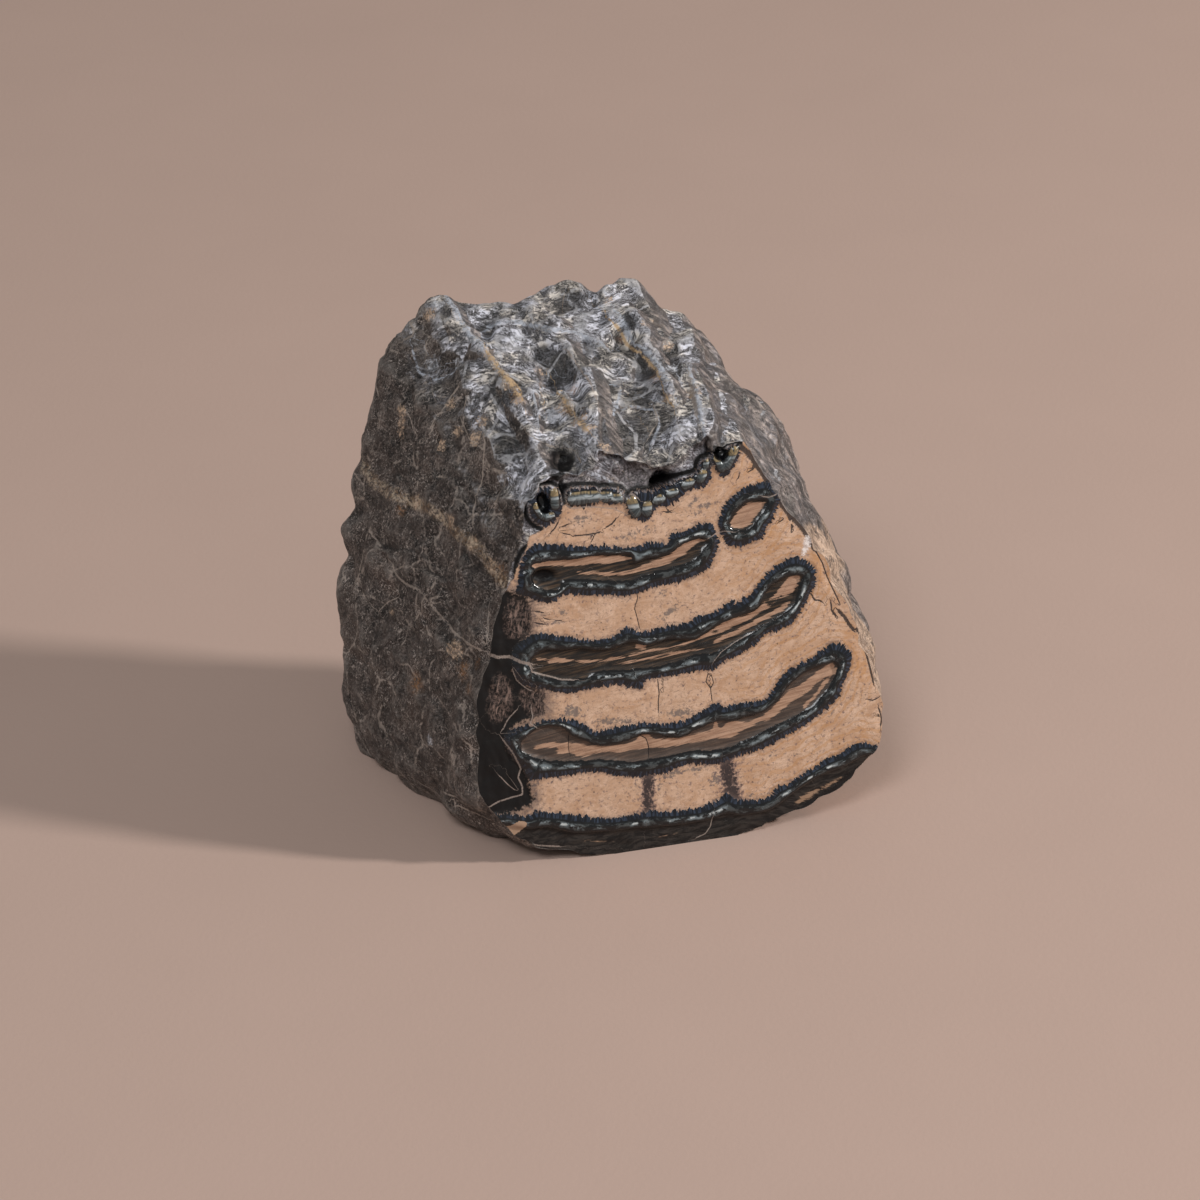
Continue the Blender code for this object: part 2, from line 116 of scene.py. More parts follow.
# The enamel bands on the ground face, as the outer edge and, if the band is closed, the inner edge
BANDS = (
    ((-30, 13, -23, 12, -19, 11.2, -16, 10.4, -13.9, 11, -11.9, 10.5, -9, 9.9, -6.1, 9.1, -3.5, 8.3,
    -1, 7.7, 2.5, 7.4, 6, 7.6, 9, 7.7, 12.6, 7.1, 18.1, 6.8, 22, 7.8, 24, 8.8, 26, 7.6, 28.1, 7.2, 31, 6.9,
    33, 7.3, 34.3, 8.7, 37.2, 9.2, 39.5, 10.6, 42, 11.4, 44.7, 12.8, 47.5, 13.6, 49.8, 14.7, 51.6, 15.2,
    54.2, 14.6, 56.5, 13.4, 62, 10, 62, -8, 20, -12, -30, -8), (-30, 11, -24, 10.6, -20.5, 9.4, -16, 8,
    -11.9, 7.6, -9.4, 6.7, -7.4, 5.9, -5.5, 5.5, -2.6, 5.3, 0.3, 5, 5, 4.8, 9, 4.5, 13.2, 4.2, 18.5, 4.2,
    21.7, 4.5, 24, 5, 26.8, 4.2, 32, 4.3, 34.5, 5.2, 36.5, 6.4, 38.5, 7.6, 41.4, 9, 43.6, 9.9, 46.2, 10.5,
    48.5, 11, 51, 12, 53.2, 12.6, 56, 11.8, 62, 8, 62, -8, 20, -12, -30, -8)),
    ((-19, 26.9, -17.7, 27.9, -14.2, 28.5, -11.9, 28.8, -7.4, 28.7, -3.5, 27.2, -1, 25.3, 2.6, 25.5,
    5.8, 25.5, 8.7, 25.6, 13.2, 24.8, 16.5, 24.8, 20.7, 26.3, 23.6, 27.5, 24.9, 26.3, 27.8, 26.9,
    32.6, 26.6, 34.9, 28.5, 37.2, 31.1, 39.7, 32.7, 42.3, 33.4, 45.5, 35, 47.8, 36.1, 50.4, 34.6,
    51.2, 32.5, 50.4, 29.8, 48.8, 27.2, 48.5, 25.6, 45.9, 23.4, 43, 21.7, 40.4, 20.3, 37.2, 19, 33.9, 17.7,
    30.1, 16.6, 26.2, 16.3, 23.3, 15.3, 19.7, 15.6, 15.9, 16.1, 12.3, 15.1, 7.1, 15.1, 2.9, 15.9, -1, 17.2,
    -4.8, 17.5, -10.6, 17.5, -14.5, 17.7, -15.8, 20.1, -17.1, 21.7, -18.9, 25.3), (-15.8, 24.6,
    -15.5, 25.6, -13.2, 27.2, -10.6, 27.9, -8, 27.2, -6.1, 25.6, -4.2, 24.3, -1, 22.6, 2, 22.3, 4.8, 22.4,
    8.7, 23.4, 13.2, 22.2, 15.9, 21.7, 19.7, 22.9, 23.1, 23.8, 26.2, 23.5, 29, 23.9, 32, 24.2, 35.5, 25.9,
    38.1, 28.8, 41.7, 31.1, 45.9, 32.2, 47.8, 32.1, 48.1, 30.8, 46.5, 27.9, 43, 24.6, 39.1, 22.7, 33, 20.8,
    28.5, 19.2, 24.6, 18.2, 20.5, 18.3, 17.2, 18.7, 10, 18.2, 4.8, 18.4, -0.3, 19.6, -7.4, 20.3,
    -11.9, 21.4, -15.5, 23.4)),
    ((-16.1, 42.5, -15.2, 44.4, -11, 46.3, -7.4, 45.4, -3.9, 44.4, -0.3, 43.4, 3.5, 43.4, 6.6, 44.9,
    9.7, 43.7, 14.2, 44.1, 18.5, 44.2, 20.7, 45.2, 23.6, 45.4, 28.1, 47.3, 28.8, 46.5, 30.4, 47.5,
    32, 48.3, 34.6, 51, 37.8, 53.4, 41, 54.2, 44.3, 52.6, 45.1, 49.2, 43.3, 46, 41, 42.6, 38.8, 40.8,
    34.3, 39.9, 30.7, 37.4, 26.2, 35.8, 23, 34.3, 19.7, 34.6, 13.9, 34.2, 10, 34.2, 9, 32.7, 7.7, 32.7,
    4.2, 34, 0, 34, -6.1, 33.8, -10, 35, -13.9, 36.3, -15.5, 37.9, -16.1, 39.8), (-12.4, 40.1, -12.2, 41.5,
    -10, 42.8, -6, 42.4, -3, 42.3, 0, 41.5, 3, 41.2, 5.5, 41.7, 8, 42, 10.3, 40.9, 15.2, 41.5, 20.1, 40.8,
    23.9, 42.6, 28.8, 44.1, 33, 45.2, 35.5, 48.9, 38.8, 50.5, 42, 50.5, 41.8, 48.9, 40.4, 45.4, 37.5, 43.4,
    33.6, 41.8, 29.4, 39.9, 25.9, 38.5, 23.9, 37.7, 19.7, 37.7, 14.6, 36.7, 7.4, 36.7, 3.5, 37, 0, 37.2,
    -2.3, 36.3, -7.4, 36.7, -11.6, 38.2)),
    ((-12.6, 61.2, -11.3, 62.8, -9.4, 63.7, -5.5, 63.1, -1.3, 62.1, 2.6, 61.6, 6.5, 61, 10.3, 60.5,
    12.6, 61.2, 16.2, 60.5, 16.8, 62, 19.7, 62.3, 22.6, 63.4, 25.2, 62.8, 25.9, 59.2, 24.9, 56, 22.3, 53.7,
    18.1, 52.8, 14.6, 52.6, 11.9, 52.1, 7.4, 51.3, 3.2, 52.1, -1, 52.5, -4.2, 53.3, -8.1, 52, -11.6, 53.4,
    -14.2, 55, -13.6, 57, -13.3, 59.3), (-11, 57, -10.3, 58.6, -10.5, 59.9, -6, 60.1, -2, 59.8, 2, 60,
    6, 59.6, 8.5, 59.3, 9.2, 57.4, 11.6, 57.9, 16.2, 58.3, 18.5, 59.7, 22.3, 60.5, 24, 59.8, 22.6, 58.3,
    21, 56.6, 16.8, 55.7, 12.6, 55.2, 8.1, 54.2, 3.2, 54.9, -1, 55.7, -4.8, 56, -6.1, 54.5, -8.1, 54.5,
    -10, 55.5)),
    ((26.5, 62.1, 26.4, 63.4, 27.2, 65, 28.8, 67.3, 31.4, 68.9, 34.6, 69.7, 36.2, 69.9, 37.8, 68.9,
    38.6, 67.3, 38.6, 65.4, 37.2, 62.5, 35.9, 61.2, 35.2, 59.5, 33.9, 58.6, 30.1, 57.9, 28.5, 58.3,
    27.5, 59.5), (28.8, 61.8, 28.6, 62.8, 29.6, 64.4, 31, 65.7, 32.6, 66.5, 36, 66.3, 36.2, 65.4,
    33.9, 62.8, 32.6, 61.5, 31.4, 61, 30.1, 61.2)),
    ((-10.4, 71, -9.6, 73.4, -7, 74.4, -4.6, 73.6, -4, 70.8, -5, 68.2, -7.4, 67, -9.8, 68.4), None),
    ((-3, 71.8, -2.2, 73.4, 0.5, 73.3, 3.2, 72.7, 3.1, 70.1, 0.5, 70, -2.2, 70.3), None),
    ((3.3, 71.4, 3.9, 72.6, 6.5, 72.3, 8, 71.4, 7.4, 69.6, 4.2, 69.8), None),
    ((8.6, 69.8, 8.8, 67.6, 9.8, 66.2, 11.5, 65.6, 13.2, 66.3, 14.3, 67.8, 17, 67.9, 19.5, 69.2, 21, 70.2,
    24.5, 71, 25.6, 73, 25.4, 75.6, 24, 75.4, 23, 73.4, 20, 72.6, 17.5, 71.6, 14, 70.8, 12, 71, 10, 70.8),
    None),
    ((26, 76.2, 26.6, 73.8, 28, 72, 30, 73.6, 31.4, 75.6, 31.6, 77.6, 29.6, 77.6, 28, 76.6), None),
)

# Glossy rounded barrels on the enamel, as (u, v) from end to end with a radius
BARRELS = (
    ((-1.6, 71.6), (0.4, 71.6), 1.5), ((1.6, 71.5), (2.6, 71.4), 1.4), ((4.2, 71.2), (5, 71.1), 1.25),
    ((6.6, 70.6), (7.2, 70.3), 1.1), ((-5.4, 73.4), (-5.4, 70.8), 0.95), ((-8.9, 71), (-7.9, 69.2), 0.95),
    ((-7.2, 68.6), (-6.2, 69), 0.7), ((9.6, 69.6), (10.2, 67.4), 1.25), ((12.6, 68.4), (12.4, 67.2), 1.1),
    ((14.6, 69.2), (15.4, 69.4), 1), ((17.2, 70.1), (18.2, 70.4), 0.9), ((20.4, 71.4), (21.4, 71.8), 1),
    ((23.4, 72.2), (24, 73.2), 0.95), ((24.7, 74.6), (24.8, 75.6), 0.7), ((30.6, 77), (28.8, 74), 0.9),
    ((26.9, 75.8), (27.8, 73.6), 0.75),
)

# Holes in the ground face, as (u, v, half width, half height, turn, depth)
FACE_PITS = (
    (-7.6, 71.4, 1.2, 2.2, 10, 2.2), (-8.6, 57.2, 2.6, 1.5, -5, 1), (16, 72.6, 2.6, 1.1, 22, 2.5),
    (28, 76.3, 1.6, 1.2, 0, 2), (-12.5, 59, 0.8, 0.5, 0, 0.4), (-3.4, 74, 0.6, 1.6, 0, 1.5),
)

# Tan streaks in the dentine inside the bands
TAN_STREAKS = (
    (-13.5, 23.9, -11, 24.4, -8, 24, -5, 23.4, -1.5, 22.4, 2, 22.1, 5, 21.9, 7, 22.4, 8, 23.2, 9.5, 23.1,
    11, 22, 15, 21.7, 20, 21.9, 22.2, 22.2, 23, 23.8, 24, 22.2, 25.5, 23.3, 27, 23.3, 29, 22.7, 31.5, 23.1,
    34, 24.5, 36, 26, 38, 27.6, 40, 28.3, 42, 29.5, 44, 30.6, 46, 31.7, 47.6, 32, 47.6, 30.8, 46, 29.3,
    44, 28.5, 42, 26.9, 40, 26, 38, 25, 36, 23.8, 34, 22.5, 32, 22.4, 30, 21.7, 28, 20.9, 26, 20.1,
    22, 20.3, 18, 20.1, 12, 20, 8, 20.3, 4, 20.4, 0, 20.9, -4, 20.6, -6, 21.5, -8.5, 22, -9.5, 22.6,
    -8.8, 23.2, -12.4, 23.3),
    (41.2, 23.9, 44, 26.1, 46, 28.2, 47.9, 30.3, 48.1, 31.2, 46.6, 30, 45, 28.2, 43, 25.9, 41, 24.5),
    (-11.3, 41.2, -9.4, 41, -9.2, 40.5, -10.8, 40.7),
    (-9, 40.9, -7, 40.9, -5, 40.3, -3, 39.9, -1, 39.5, 2, 39.3, 3.5, 39.6, 5.8, 39.3, 5.6, 38.9, 2, 38.8,
    -1, 39, -4, 39.6, -7, 39.9, -9, 40.1),
    (8.6, 41.3, 10.4, 40.6, 9.6, 40.2, 8.4, 40.6),
    (7, 39.1, 10, 39.4, 14, 39.5, 18, 39.9, 21, 40.5, 24, 40.9, 27, 41.7, 30, 42.6, 33, 43.8, 36, 45.3,
    37.5, 46.4, 39, 46.8, 40.3, 47.2, 41.4, 48.9, 41.9, 50.4, 40, 50.4, 38.6, 49.3, 37, 47.7, 35.6, 46.6,
    33, 45.2, 30.5, 44, 28.3, 43.9, 26, 43.3, 24, 42.3, 21.5, 41.2, 18, 40.3, 14, 39.9, 10, 39.8,
    7.2, 39.5),
    (24, 39.2, 27, 40.2, 30, 41, 33, 42.1, 36, 43.2, 38.4, 44.1, 39.8, 45.6, 38.4, 45.2, 35.6, 43.9,
    33, 43, 30, 41.9, 27, 41, 24, 39.9),
    (2, 38.1, 6, 38.2, 10, 38.4, 14, 38.7, 18, 38.9, 22, 38.6, 18, 38.4, 14, 38.1, 10, 37.9, 6, 37.8,
    2, 37.9),
    (-13.2, 58.5, -12, 59.5, -9, 60.3, -6, 60, -3, 59.9, 0, 60.1, 4, 59.6, 8, 58.9, 9, 58.2, 5, 58,
    1, 58.3, -3, 58.4, -6, 58.9, -9, 59.2, -11.5, 58.7),
    (-2, 57.3, 0, 57, 2, 56.7, 4, 56.3, 7, 56, 10, 56.4, 13, 57.6, 16, 58, 18.5, 59.5, 20.5, 60.2,
    23, 60.5, 23.4, 59.7, 21.5, 58.7, 19.5, 57.7, 18, 57.2, 16, 56.3, 13, 55.9, 10, 55.6, 7, 55.4, 4, 55.6,
    2, 56.1, 0, 56.4, -2, 56.8),
    (28.9, 62, 28.9, 62.8, 29.9, 64.2, 31.3, 65.4, 32.8, 66.2, 35.8, 66, 35.9, 65.4, 33.6, 62.9,
    32.4, 61.8, 31.3, 61.3, 30.2, 61.5),
    (37.5, 4.8, 40, 6.4, 43, 7.3, 46.2, 8.3, 49.2, 9.4, 48.1, 8.3, 44.3, 6.7, 41, 5.3, 39, 4.3),
    (-5.5, 3.9, -1.5, 3.3, 3, 2.8, 7.5, 2.3, 3, 2.5, -2, 2.9), (8.8, 2.3, 11, 2.4, 13.8, 2.3, 11, 2),
)

# Dark wedges that cut into the tan streaks
DARK_WEDGES = (
    (-12.7, 23.4, -10, 23.3, -8.6, 22.7, -11, 22.6),
    (34.6, 46.4, 36.6, 46.6, 38.4, 47.2, 36.9, 46, 35.2, 45.5),
    (24, 41.3, 25.2, 41.6, 24.2, 41.9, 23.4, 41.6),
    (18, 57, 20, 58.2, 22, 59.6, 23.4, 60, 22.4, 58.6, 20.4, 57, 19, 56.6),
    (9, 56.9, 12.5, 57.4, 15, 57.5, 12, 56.9),
)

# The black strip along the left of the ground face, and the pinkish patches in it
BLACK_STRIP = (
    -30, 57, -18, 56.5, -15.5, 55.2, -12.2, 53.4, -11.7, 49.1, -12.3, 46.5, -14.4, 44.5, -15.6, 42.3,
    -15.6, 39, -13.1, 36, -10.3, 34.6, -10.6, 32.4, -10.4, 30.3, -13.6, 29.6, -17, 28.6, -18.4, 27.2,
    -18.5, 24.5, -16.6, 21.9, -15.1, 19, -14.6, 15.8, -14.2, 13.4, -15.6, 12.3, -18.4, 11.6, -22, 11.6,
    -30, 13,
)
PINK_PATCHES = (
    (-17, 46.6, -17, 50, -16, 53.6, -13.8, 53.6, -11.4, 51.7, -10.7, 48.9, -12.2, 46.8, -14.6, 45.6),
    (-20.2, 38.4, -18.5, 39.6, -16.7, 37, -16.3, 34.2, -17.2, 31.4, -19.4, 29.6, -21.4, 30.5, -21.8, 33.9),
    (-15.6, 35.3, -12.4, 35.6, -9.8, 35, -9.2, 33, -9.8, 30.4, -12, 29.4, -13.8, 30.4, -15, 32.6),
)

# The broken rock above the topmost bands, which isn't ground
LIP = (
    -18, 56.6, -15.2, 57, -13.8, 59.2, -12.6, 61.4, -11.4, 63.4, -10.7, 65.3, -8.2, 66.4, -5.4, 68.9,
    -4.1, 70.4, -1.8, 70.9, 1.4, 71.2, 4.6, 70.9, 7.2, 70.2, 9.2, 68.4, 10.4, 67.6, 12.2, 67.8, 13.7, 69.3,
    17.2, 70.6, 21.3, 71.6, 24.3, 72.6, 26.1, 74.4, 28.1, 74, 29.7, 75, 31.4, 77, 32.4, 78.6, 33, 84,
    -20, 84,
)
TAN_PATCH = (
    -21.2, 9.2, -19.5, 9, -17.5, 9.8, -16, 9.2, -16.9, 7.9, -18.8, 6.8, -20.2, 7.6,
)
WHITE_CHIP = (
    43.4, 58, 44.5, 58.3, 45, 57.3, 44.4, 56, 43.3, 54.4, 42.5, 54.6, 42.7, 56,
)

# Dark lines on the ground face, each with its half width
DARK_LINES = (
    ((9.2, 52, 9.4, 50.5, 8.6, 48.5, 9, 46.5, 9.3, 44.5), 0.09),
    ((12.1, 33.5, 12.2, 31, 11.9, 29.5, 11.8, 27.5), 0.11),
    ((22.2, 33.5, 21.7, 32, 22.5, 30.5, 22.6, 28.2), 0.1), ((22.8, 33.3, 23.2, 31.6, 22.6, 30.6), 0.09),
    ((13.2, 33.8, 13, 31.6), 0.06), ((-6.3, 25, -6.5, 23, -6.4, 21.6), 0.08),
    ((7.8, 23.2, 9, 22.3, 9.4, 20.5, 9.2, 18.8), 0.1), ((1.2, 62.8, 2, 64.1, 3, 64.4), 0.1),
    ((-2.2, 64.3, 0.5, 64.2, 3, 64.3), 0.12), ((4.4, 65.2, 5.3, 65.6, 6.2, 66.4), 0.16),
    ((33.2, 72.3, 34, 72.7, 34.6, 73.3), 0.14), ((30.9, 71.2, 31.2, 71.8), 0.14),
    ((16, 66.6, 17, 66.4, 16.6, 67), 0.14), ((43.9, 46.6, 44.6, 45.2, 45.6, 45, 46, 44.6), 0.16),
    ((47.8, 44.3, 47.9, 42.6, 48.6, 41.4), 0.16), ((49.3, 42.4, 50.4, 41, 51.2, 39.4, 52, 38.2), 0.34),
    ((52.8, 38.4, 53.4, 36.6, 54.2, 33.6, 54.8, 30.6, 55.4, 27), 0.2),
    ((54.2, 23.7, 55, 23.4, 56, 23.7), 0.12), ((56.2, 21.6, 56.6, 19.6, 56.3, 17.9), 0.16),
    ((55.6, 20.2, 56.6, 19.8, 57.4, 20.4), 0.1),
    ((31.4, 77.9, 33.2, 76, 34.5, 73.9, 35.8, 71.8, 37, 69.4, 38.1, 67, 39.5, 64.6, 41.1, 62.3, 42.8, 60.2,
    44.3, 57.9, 45.2, 55.4), 0.55),
    ((38.8, 66.5, 39.5, 64.5, 41, 63, 42, 61.7, 43.2, 60.8), 0.16),
    ((40.4, 62.4, 41, 60.6, 40.8, 59.4), 0.12),
    ((45.2, 55.4, 46.6, 52.4, 47.4, 49.4, 48.6, 46.4, 49.6, 43.8), 0.13),
    ((40, 4, 42.6, 5.3, 45.9, 6.3, 48.1, 7.9, 50.7, 9.5, 52.6, 10.5), 0.5), ((38.4, 61.6, 39.4, 62), 0.12),
    ((-10.8, 50.6, -9.4, 50.2), 0.14), ((-10.9, 48.3, -9.6, 47.9), 0.14), ((-9.2, 49, -8.4, 48.7), 0.12),
    ((-6.8, 48.3, -6, 48.1), 0.1), ((-4.2, 66.4, -3.2, 66.7), 0.14), ((-4.3, 65.1, -3, 64.7), 0.12),
    ((-5, 67.4, -5.8, 66.2, -6.6, 65.6), 0.14),
)

# Pale lines on the ground face, each with its half width
PALE_LINES = (
    ((-26, 47.6, -22, 44.8, -20.5, 43.4, -19, 42.7, -16.5, 42.4, -14.5, 41.2, -12.9, 40.6), 0.3),
    ((-12.9, 40.6, -12.5, 38.9, -10.5, 38, -8.6, 37.3, -7, 36.6, -4.6, 36.2), 0.14),
    ((-16.2, 39.6, -15.6, 37.6, -14, 35.9, -13, 35.2), 0.1), ((-19.1, 28.2, -18, 30, -16.2, 31.7), 0.12),
    ((-13.2, 31.8, -13, 30, -13.7, 28.8, -12.6, 27.9), 0.1),
    ((-19.2, 26.2, -17.6, 23.5, -16.8, 21.6, -16.2, 20, -16.9, 18.3, -16.2, 16.5, -16.3, 14.8, -18.5, 14.5,
    -21, 14.1, -23.6, 13.1), 0.15),
    ((-20.4, 19.1, -19, 17.2, -17.8, 16), 0.09),
    ((-24, 10.8, -21.5, 8.5, -19.5, 6.6, -17, 5.1, -14, 4.1, -10, 3.3), 0.16),
    ((21, 4.6, 20.6, 2.8, 19.4, 1.4, 17.8, 0.9), 0.1),
    ((-3.4, 73.4, -3.4, 70.6, -2, 69.7, 0.5, 69.7, 3, 69.3, 6, 68.6, 8, 67.4), 0.12),
    ((-3, 73.9, 0, 75.3, 3, 75.2, 6, 73.8, 9, 71.8, 10.6, 70.2), 0.22),
    ((35.5, 67.2, 36.8, 66.8, 38.4, 67.2), 0.12), ((24, 60.4, 25.5, 61, 27.5, 61.4, 29, 61), 0.1),
    ((23.5, 36, 25, 37.6, 28, 39.2, 31, 40.4), 0.08),
)

# Orange-brown zones of the cement, as (u, v, half width, half height, turn, strength)
WARM_STAINS = (
    (52, 32, 1.8, 6, 15, 0.8), (45.6, 51, 1.8, 5, 8, 0.8), (36.8, 59.6, 1.6, 3, -30, 0.8),
    (40, 57, 5, 1, 20, 0.5), (53, 18, 2.4, 3, 0, 0.5), (30, 52, 4, 1.6, 40, 0.5), (20, 12, 6, 1.6, 0, 0.3),
    (0, 47, 7, 1.2, 0, 0.3), (4, 29.5, 8, 1.4, 0, 0.3),
)

# Soft grey-blue stains, as (u, v, half width, half height, turn, strength)
GREY_STAINS = (
    (-0.5, 67.4, 2, 0.9, 0, 0.8), (1, 64.3, 2.2, 0.4, 0, 0.8), (23.8, 66.7, 2.4, 0.5, 12, 0.9),
    (22, 68, 2.6, 0.4, 35, 0.8), (22, 65.4, 2.2, 0.4, 25, 0.6), (14.6, 50.7, 1.2, 0.5, 0, 0.7),
    (15.6, 47, 2.4, 0.6, 32, 0.9), (14.4, 45.6, 1.2, 0.4, 40, 0.6), (47.6, 40.4, 0.9, 0.8, 0, 0.6),
    (-5.2, 29.8, 2, 1.2, -10, 1), (1.5, 27, 2.8, 0.7, -5, 0.9), (5, 26.6, 1.6, 0.6, 0, 0.8),
    (16, 26.6, 3, 0.8, 0, 0.9), (-7, 48, 1.4, 0.5, -10, 0.7), (-5.6, 49.8, 1.2, 0.7, -20, 0.7),
    (13.6, 14.6, 2.4, 0.7, 10, 0.9), (18, 14.8, 3, 0.5, 0, 0.8), (22.6, 12.2, 1.8, 1.6, 0, 0.8),
    (33.8, 15.3, 0.9, 0.6, 50, 0.5), (38.6, 15, 0.6, 0.9, 0, 0.5), (46.4, 22, 0.5, 1.4, -35, 0.5),
    (32.4, 11.6, 0.7, 0.5, 0, 0.5), (33.6, 7.4, 1.4, 0.5, 0, 0.7), (29, 8, 2.4, 0.4, 0, 0.7),
    (10.8, 12, 0.9, 1.6, 0, 0.6), (6.4, 12.8, 0.8, 1.6, 0, 0.5), (38, 57.2, 3.6, 0.3, -8, 0.3),
    (9, 63, 3.4, 1, 10, 0.6), (12.5, 63.6, 2, 0.9, 30, 0.6), (-15, 13.4, 1.6, 0.5, 5, 0.8),
    (-14, 16.4, 1.8, 0.3, 25, 0.8), (-14.6, 14.6, 1.6, 0.25, 0, 0.8), (-9, 16.9, 2, 0.4, 0, 0.5),
    (21.6, 7.4, 1.6, 0.8, 40, 0.7), (27.6, 33, 0.8, 0.6, 0, 0.3), (44.6, 60.6, 0.6, 1.2, 0, 0.4),
)

# Purple-brown stained cracks that cross the cement from band to band, as lines with half widths
PURPLE_CRACKS = (
    ((9, 16, 8.6, 13, 8.3, 10, 8.2, 7.6), 1.1), ((24.9, 17, 24.6, 14, 25, 11, 25.6, 8), 1.5),
)

# Pale veins on the broken outside, each with its half width
VEINS = (
    ((-42.9, 3.8, 43.5, -41.7, 0.8, 41.8, -40, -1.6, 41.2, -37.1, -6.2, 42.6, -35.4, -9.5, 42.3,
    -33, -12.9, 40.7, -30, -18.4, 40.2, -26.9, -23.9, 40.9, -23, -28.1, 41.3, -20.6, -29.5, 40.6), 0.36),
    ((-35.4, -9.5, 42.4, -33.6, -10.8, 43.8), 0.3),
    ((-35.2, 9.9, 67.8, -34, 10.8, 70, -33.8, 12.9, 72.1, -34.5, 15.9, 73.8, -34.9, 18.3, 74.5), 0.16),
    ((-36.6, 10.4, 66.4, -35.2, 10.3, 68.2, -33.8, 10.7, 70.2), 0.28),
    ((-32, 12.5, 73.5, -31.1, 13.6, 75.1, -29.7, 13.6, 76.9), 0.4),
    ((-25, 3.2, 74.1, -24.1, -0.9, 73, -24.3, -2.9, 70.8, -24.5, -4, 68.2, -25.3, -5.2, 64.5,
    -26.2, -7.5, 61.7, -26.4, -10, 59.4), 0.3),
    ((-24.3, -2.9, 70.8, -23.1, -5.4, 69.6, -20.7, -8.2, 69.9), 0.4),
    ((-48.7, 7.1, 33.5, -47.2, 4.3, 32.4, -45.9, 2.6, 32.3, -44.2, 1.7, 34.9, -42.1, -0.7, 37.5), 0.16),
    ((-23, -22.6, 49.1, -23.4, -24.9, 46, -23.6, -26.3, 42.8), 0.16),
    ((-37, -21, 8.6, -32.2, -26, 8.3, -30, -28.1, 8.8, -27.5, -33, 11, -25.1, -35, 11.3), 0.25),
    ((-37.9, -17.2, 5.1, -33.5, -20.5, 3.7, -29.3, -28.6, 7, -25.3, -31.3, 6.5, -21.3, -35.8, 6.9), 0.22),
    ((-28, 10, 75.9, -28.8, 7, 73.1, -27.1, 2.4, 71.2, -24.3, -2.2, 71.6), 0.2),
    ((-46.3, 6.3, 38.6, -45.5, 6.1, 40.8, -43.3, 3.6, 42.5, -42.5, 2.2, 42.2), 0.16),
    ((-39.2, -1.9, 42.3, -40.6, 0.1, 42.9, -39.6, -0.6, 44.9, -37.5, -3, 45.7), 0.16),
    ((-40.6, 29.6, 78.8, -39.1, 29.3, 79.8, -38.8, 30.3, 80.6, -39.6, 32.4, 81.3), 0.26),
    ((-16.4, -2.5, 76.5, -14.4, -5.7, 75.7, -11.6, -5.9, 74.5, -7.7, -6.5, 74, -5.8, -9.1, 73.2), 0.3),
    ((-5.2, -12.7, 73, -2, -12.8, 73.1, 0.3, -12.7, 71.3, 2.8, -12.9, 68.8, 6.6, -13.6, 65.3), 0.35),
    ((1.3, 4.8, 77.2, 3.8, 3.6, 77.6, 6.1, 3.3, 78), 0.4),
    ((8.2, 3.2, 78.5, 9.1, 0.6, 76.6, 7.6, -2, 74.8), 0.25),
    ((-8.2, 16.1, 83.2, -5.9, 11.2, 82.3, -3.5, 6.1, 81.3, -2.4, 0.8, 79.8, -1.6, -5.5, 77.8,
    -1.8, -9.1, 76.5), 0.35),
    ((15.4, 8.6, 81.1, 16.1, 3.1, 79.6, 16.6, -0.9, 78.5), 0.6),
    ((21, -2.5, 76.1, 23.9, -3.9, 74.7, 26.4, -4.1, 73.1), 0.4),
)

# Bluish-white and golden strands and black cracks on the top, each with its half width
BLUE_LINES = (
    ((-32.1, 35.6, 85.3, -28.3, 25.5, 83.6, -25.6, 20.4, 82.9, -23, 15.8, 80.9), 1.1),
    ((-27.5, 24.9, 83.4, -23.6, 27.2, 82.9, -17.7, 26.4, 84.5, -11.8, 21.8, 85.1, -5.9, 21.7, 83.8,
    -1.2, 19.1, 83), 0.8),
    ((-5.1, 8.9, 82.2, -1.4, 10.1, 80.7, 2.1, 8.8, 79, 0.3, -0.1, 77), 0.4),
    ((-14.9, 6.5, 78.9, -13.9, 2.2, 77.5, -13.5, -3.9, 76.5), 0.35),
    ((-12.1, 8.5, 78.3, -8.6, 6.8, 78.5, -7.4, 1.7, 78.2, -5.8, -4.5, 77.2), 0.4),
    ((1.3, 4, 77.2, 4.9, 3.5, 77.9, 8.4, 2.4, 78, 9.5, -0.2, 76.2, 7.6, -4.8, 73.9), 0.45),
    ((-9.2, -14.8, 72.7, -5.4, -13.3, 73, -1.4, -13.2, 71.4, 4.1, -13.1, 66.9), 0.6),
    ((-38.9, 26.8, 77.6, -37.8, 23.2, 75.1, -34.4, 19.6, 75.2, -30, 18.5, 78.4), 0.35),
    ((1.6, 25.4, 86.4, 4.1, 20.6, 83.6, 7.4, 15.6, 83.2, 9.6, 11.6, 82.3, 11.6, 5.2, 81.5), 0.9),
    ((15.4, 10.5, 81.8, 16.7, 5.2, 80.2, 17.2, -1.2, 78.7, 18.2, -6.1, 75.9), 0.8),
)
GOLD_LINES = (
    ((-24, 17.8, 81.9, -20.4, 11.3, 80.5, -18.2, 7.7, 79.6, -17, 4, 78.7), 0.9),
    ((-0.4, 26, 85.8, 2.1, 22.3, 84.4, 2.9, 20, 83.2, 5, 17.2, 82.7, 6.4, 16, 82.8, 8.5, 11.9, 82.1,
    10.5, 5.6, 81.5, 11.6, 2.4, 79.6), 0.45),
    ((-9.6, 7.6, 78.6, -8.4, 3.4, 78.7, -6.4, -1.6, 78, -4.6, -4.8, 77.6), 0.8),
)
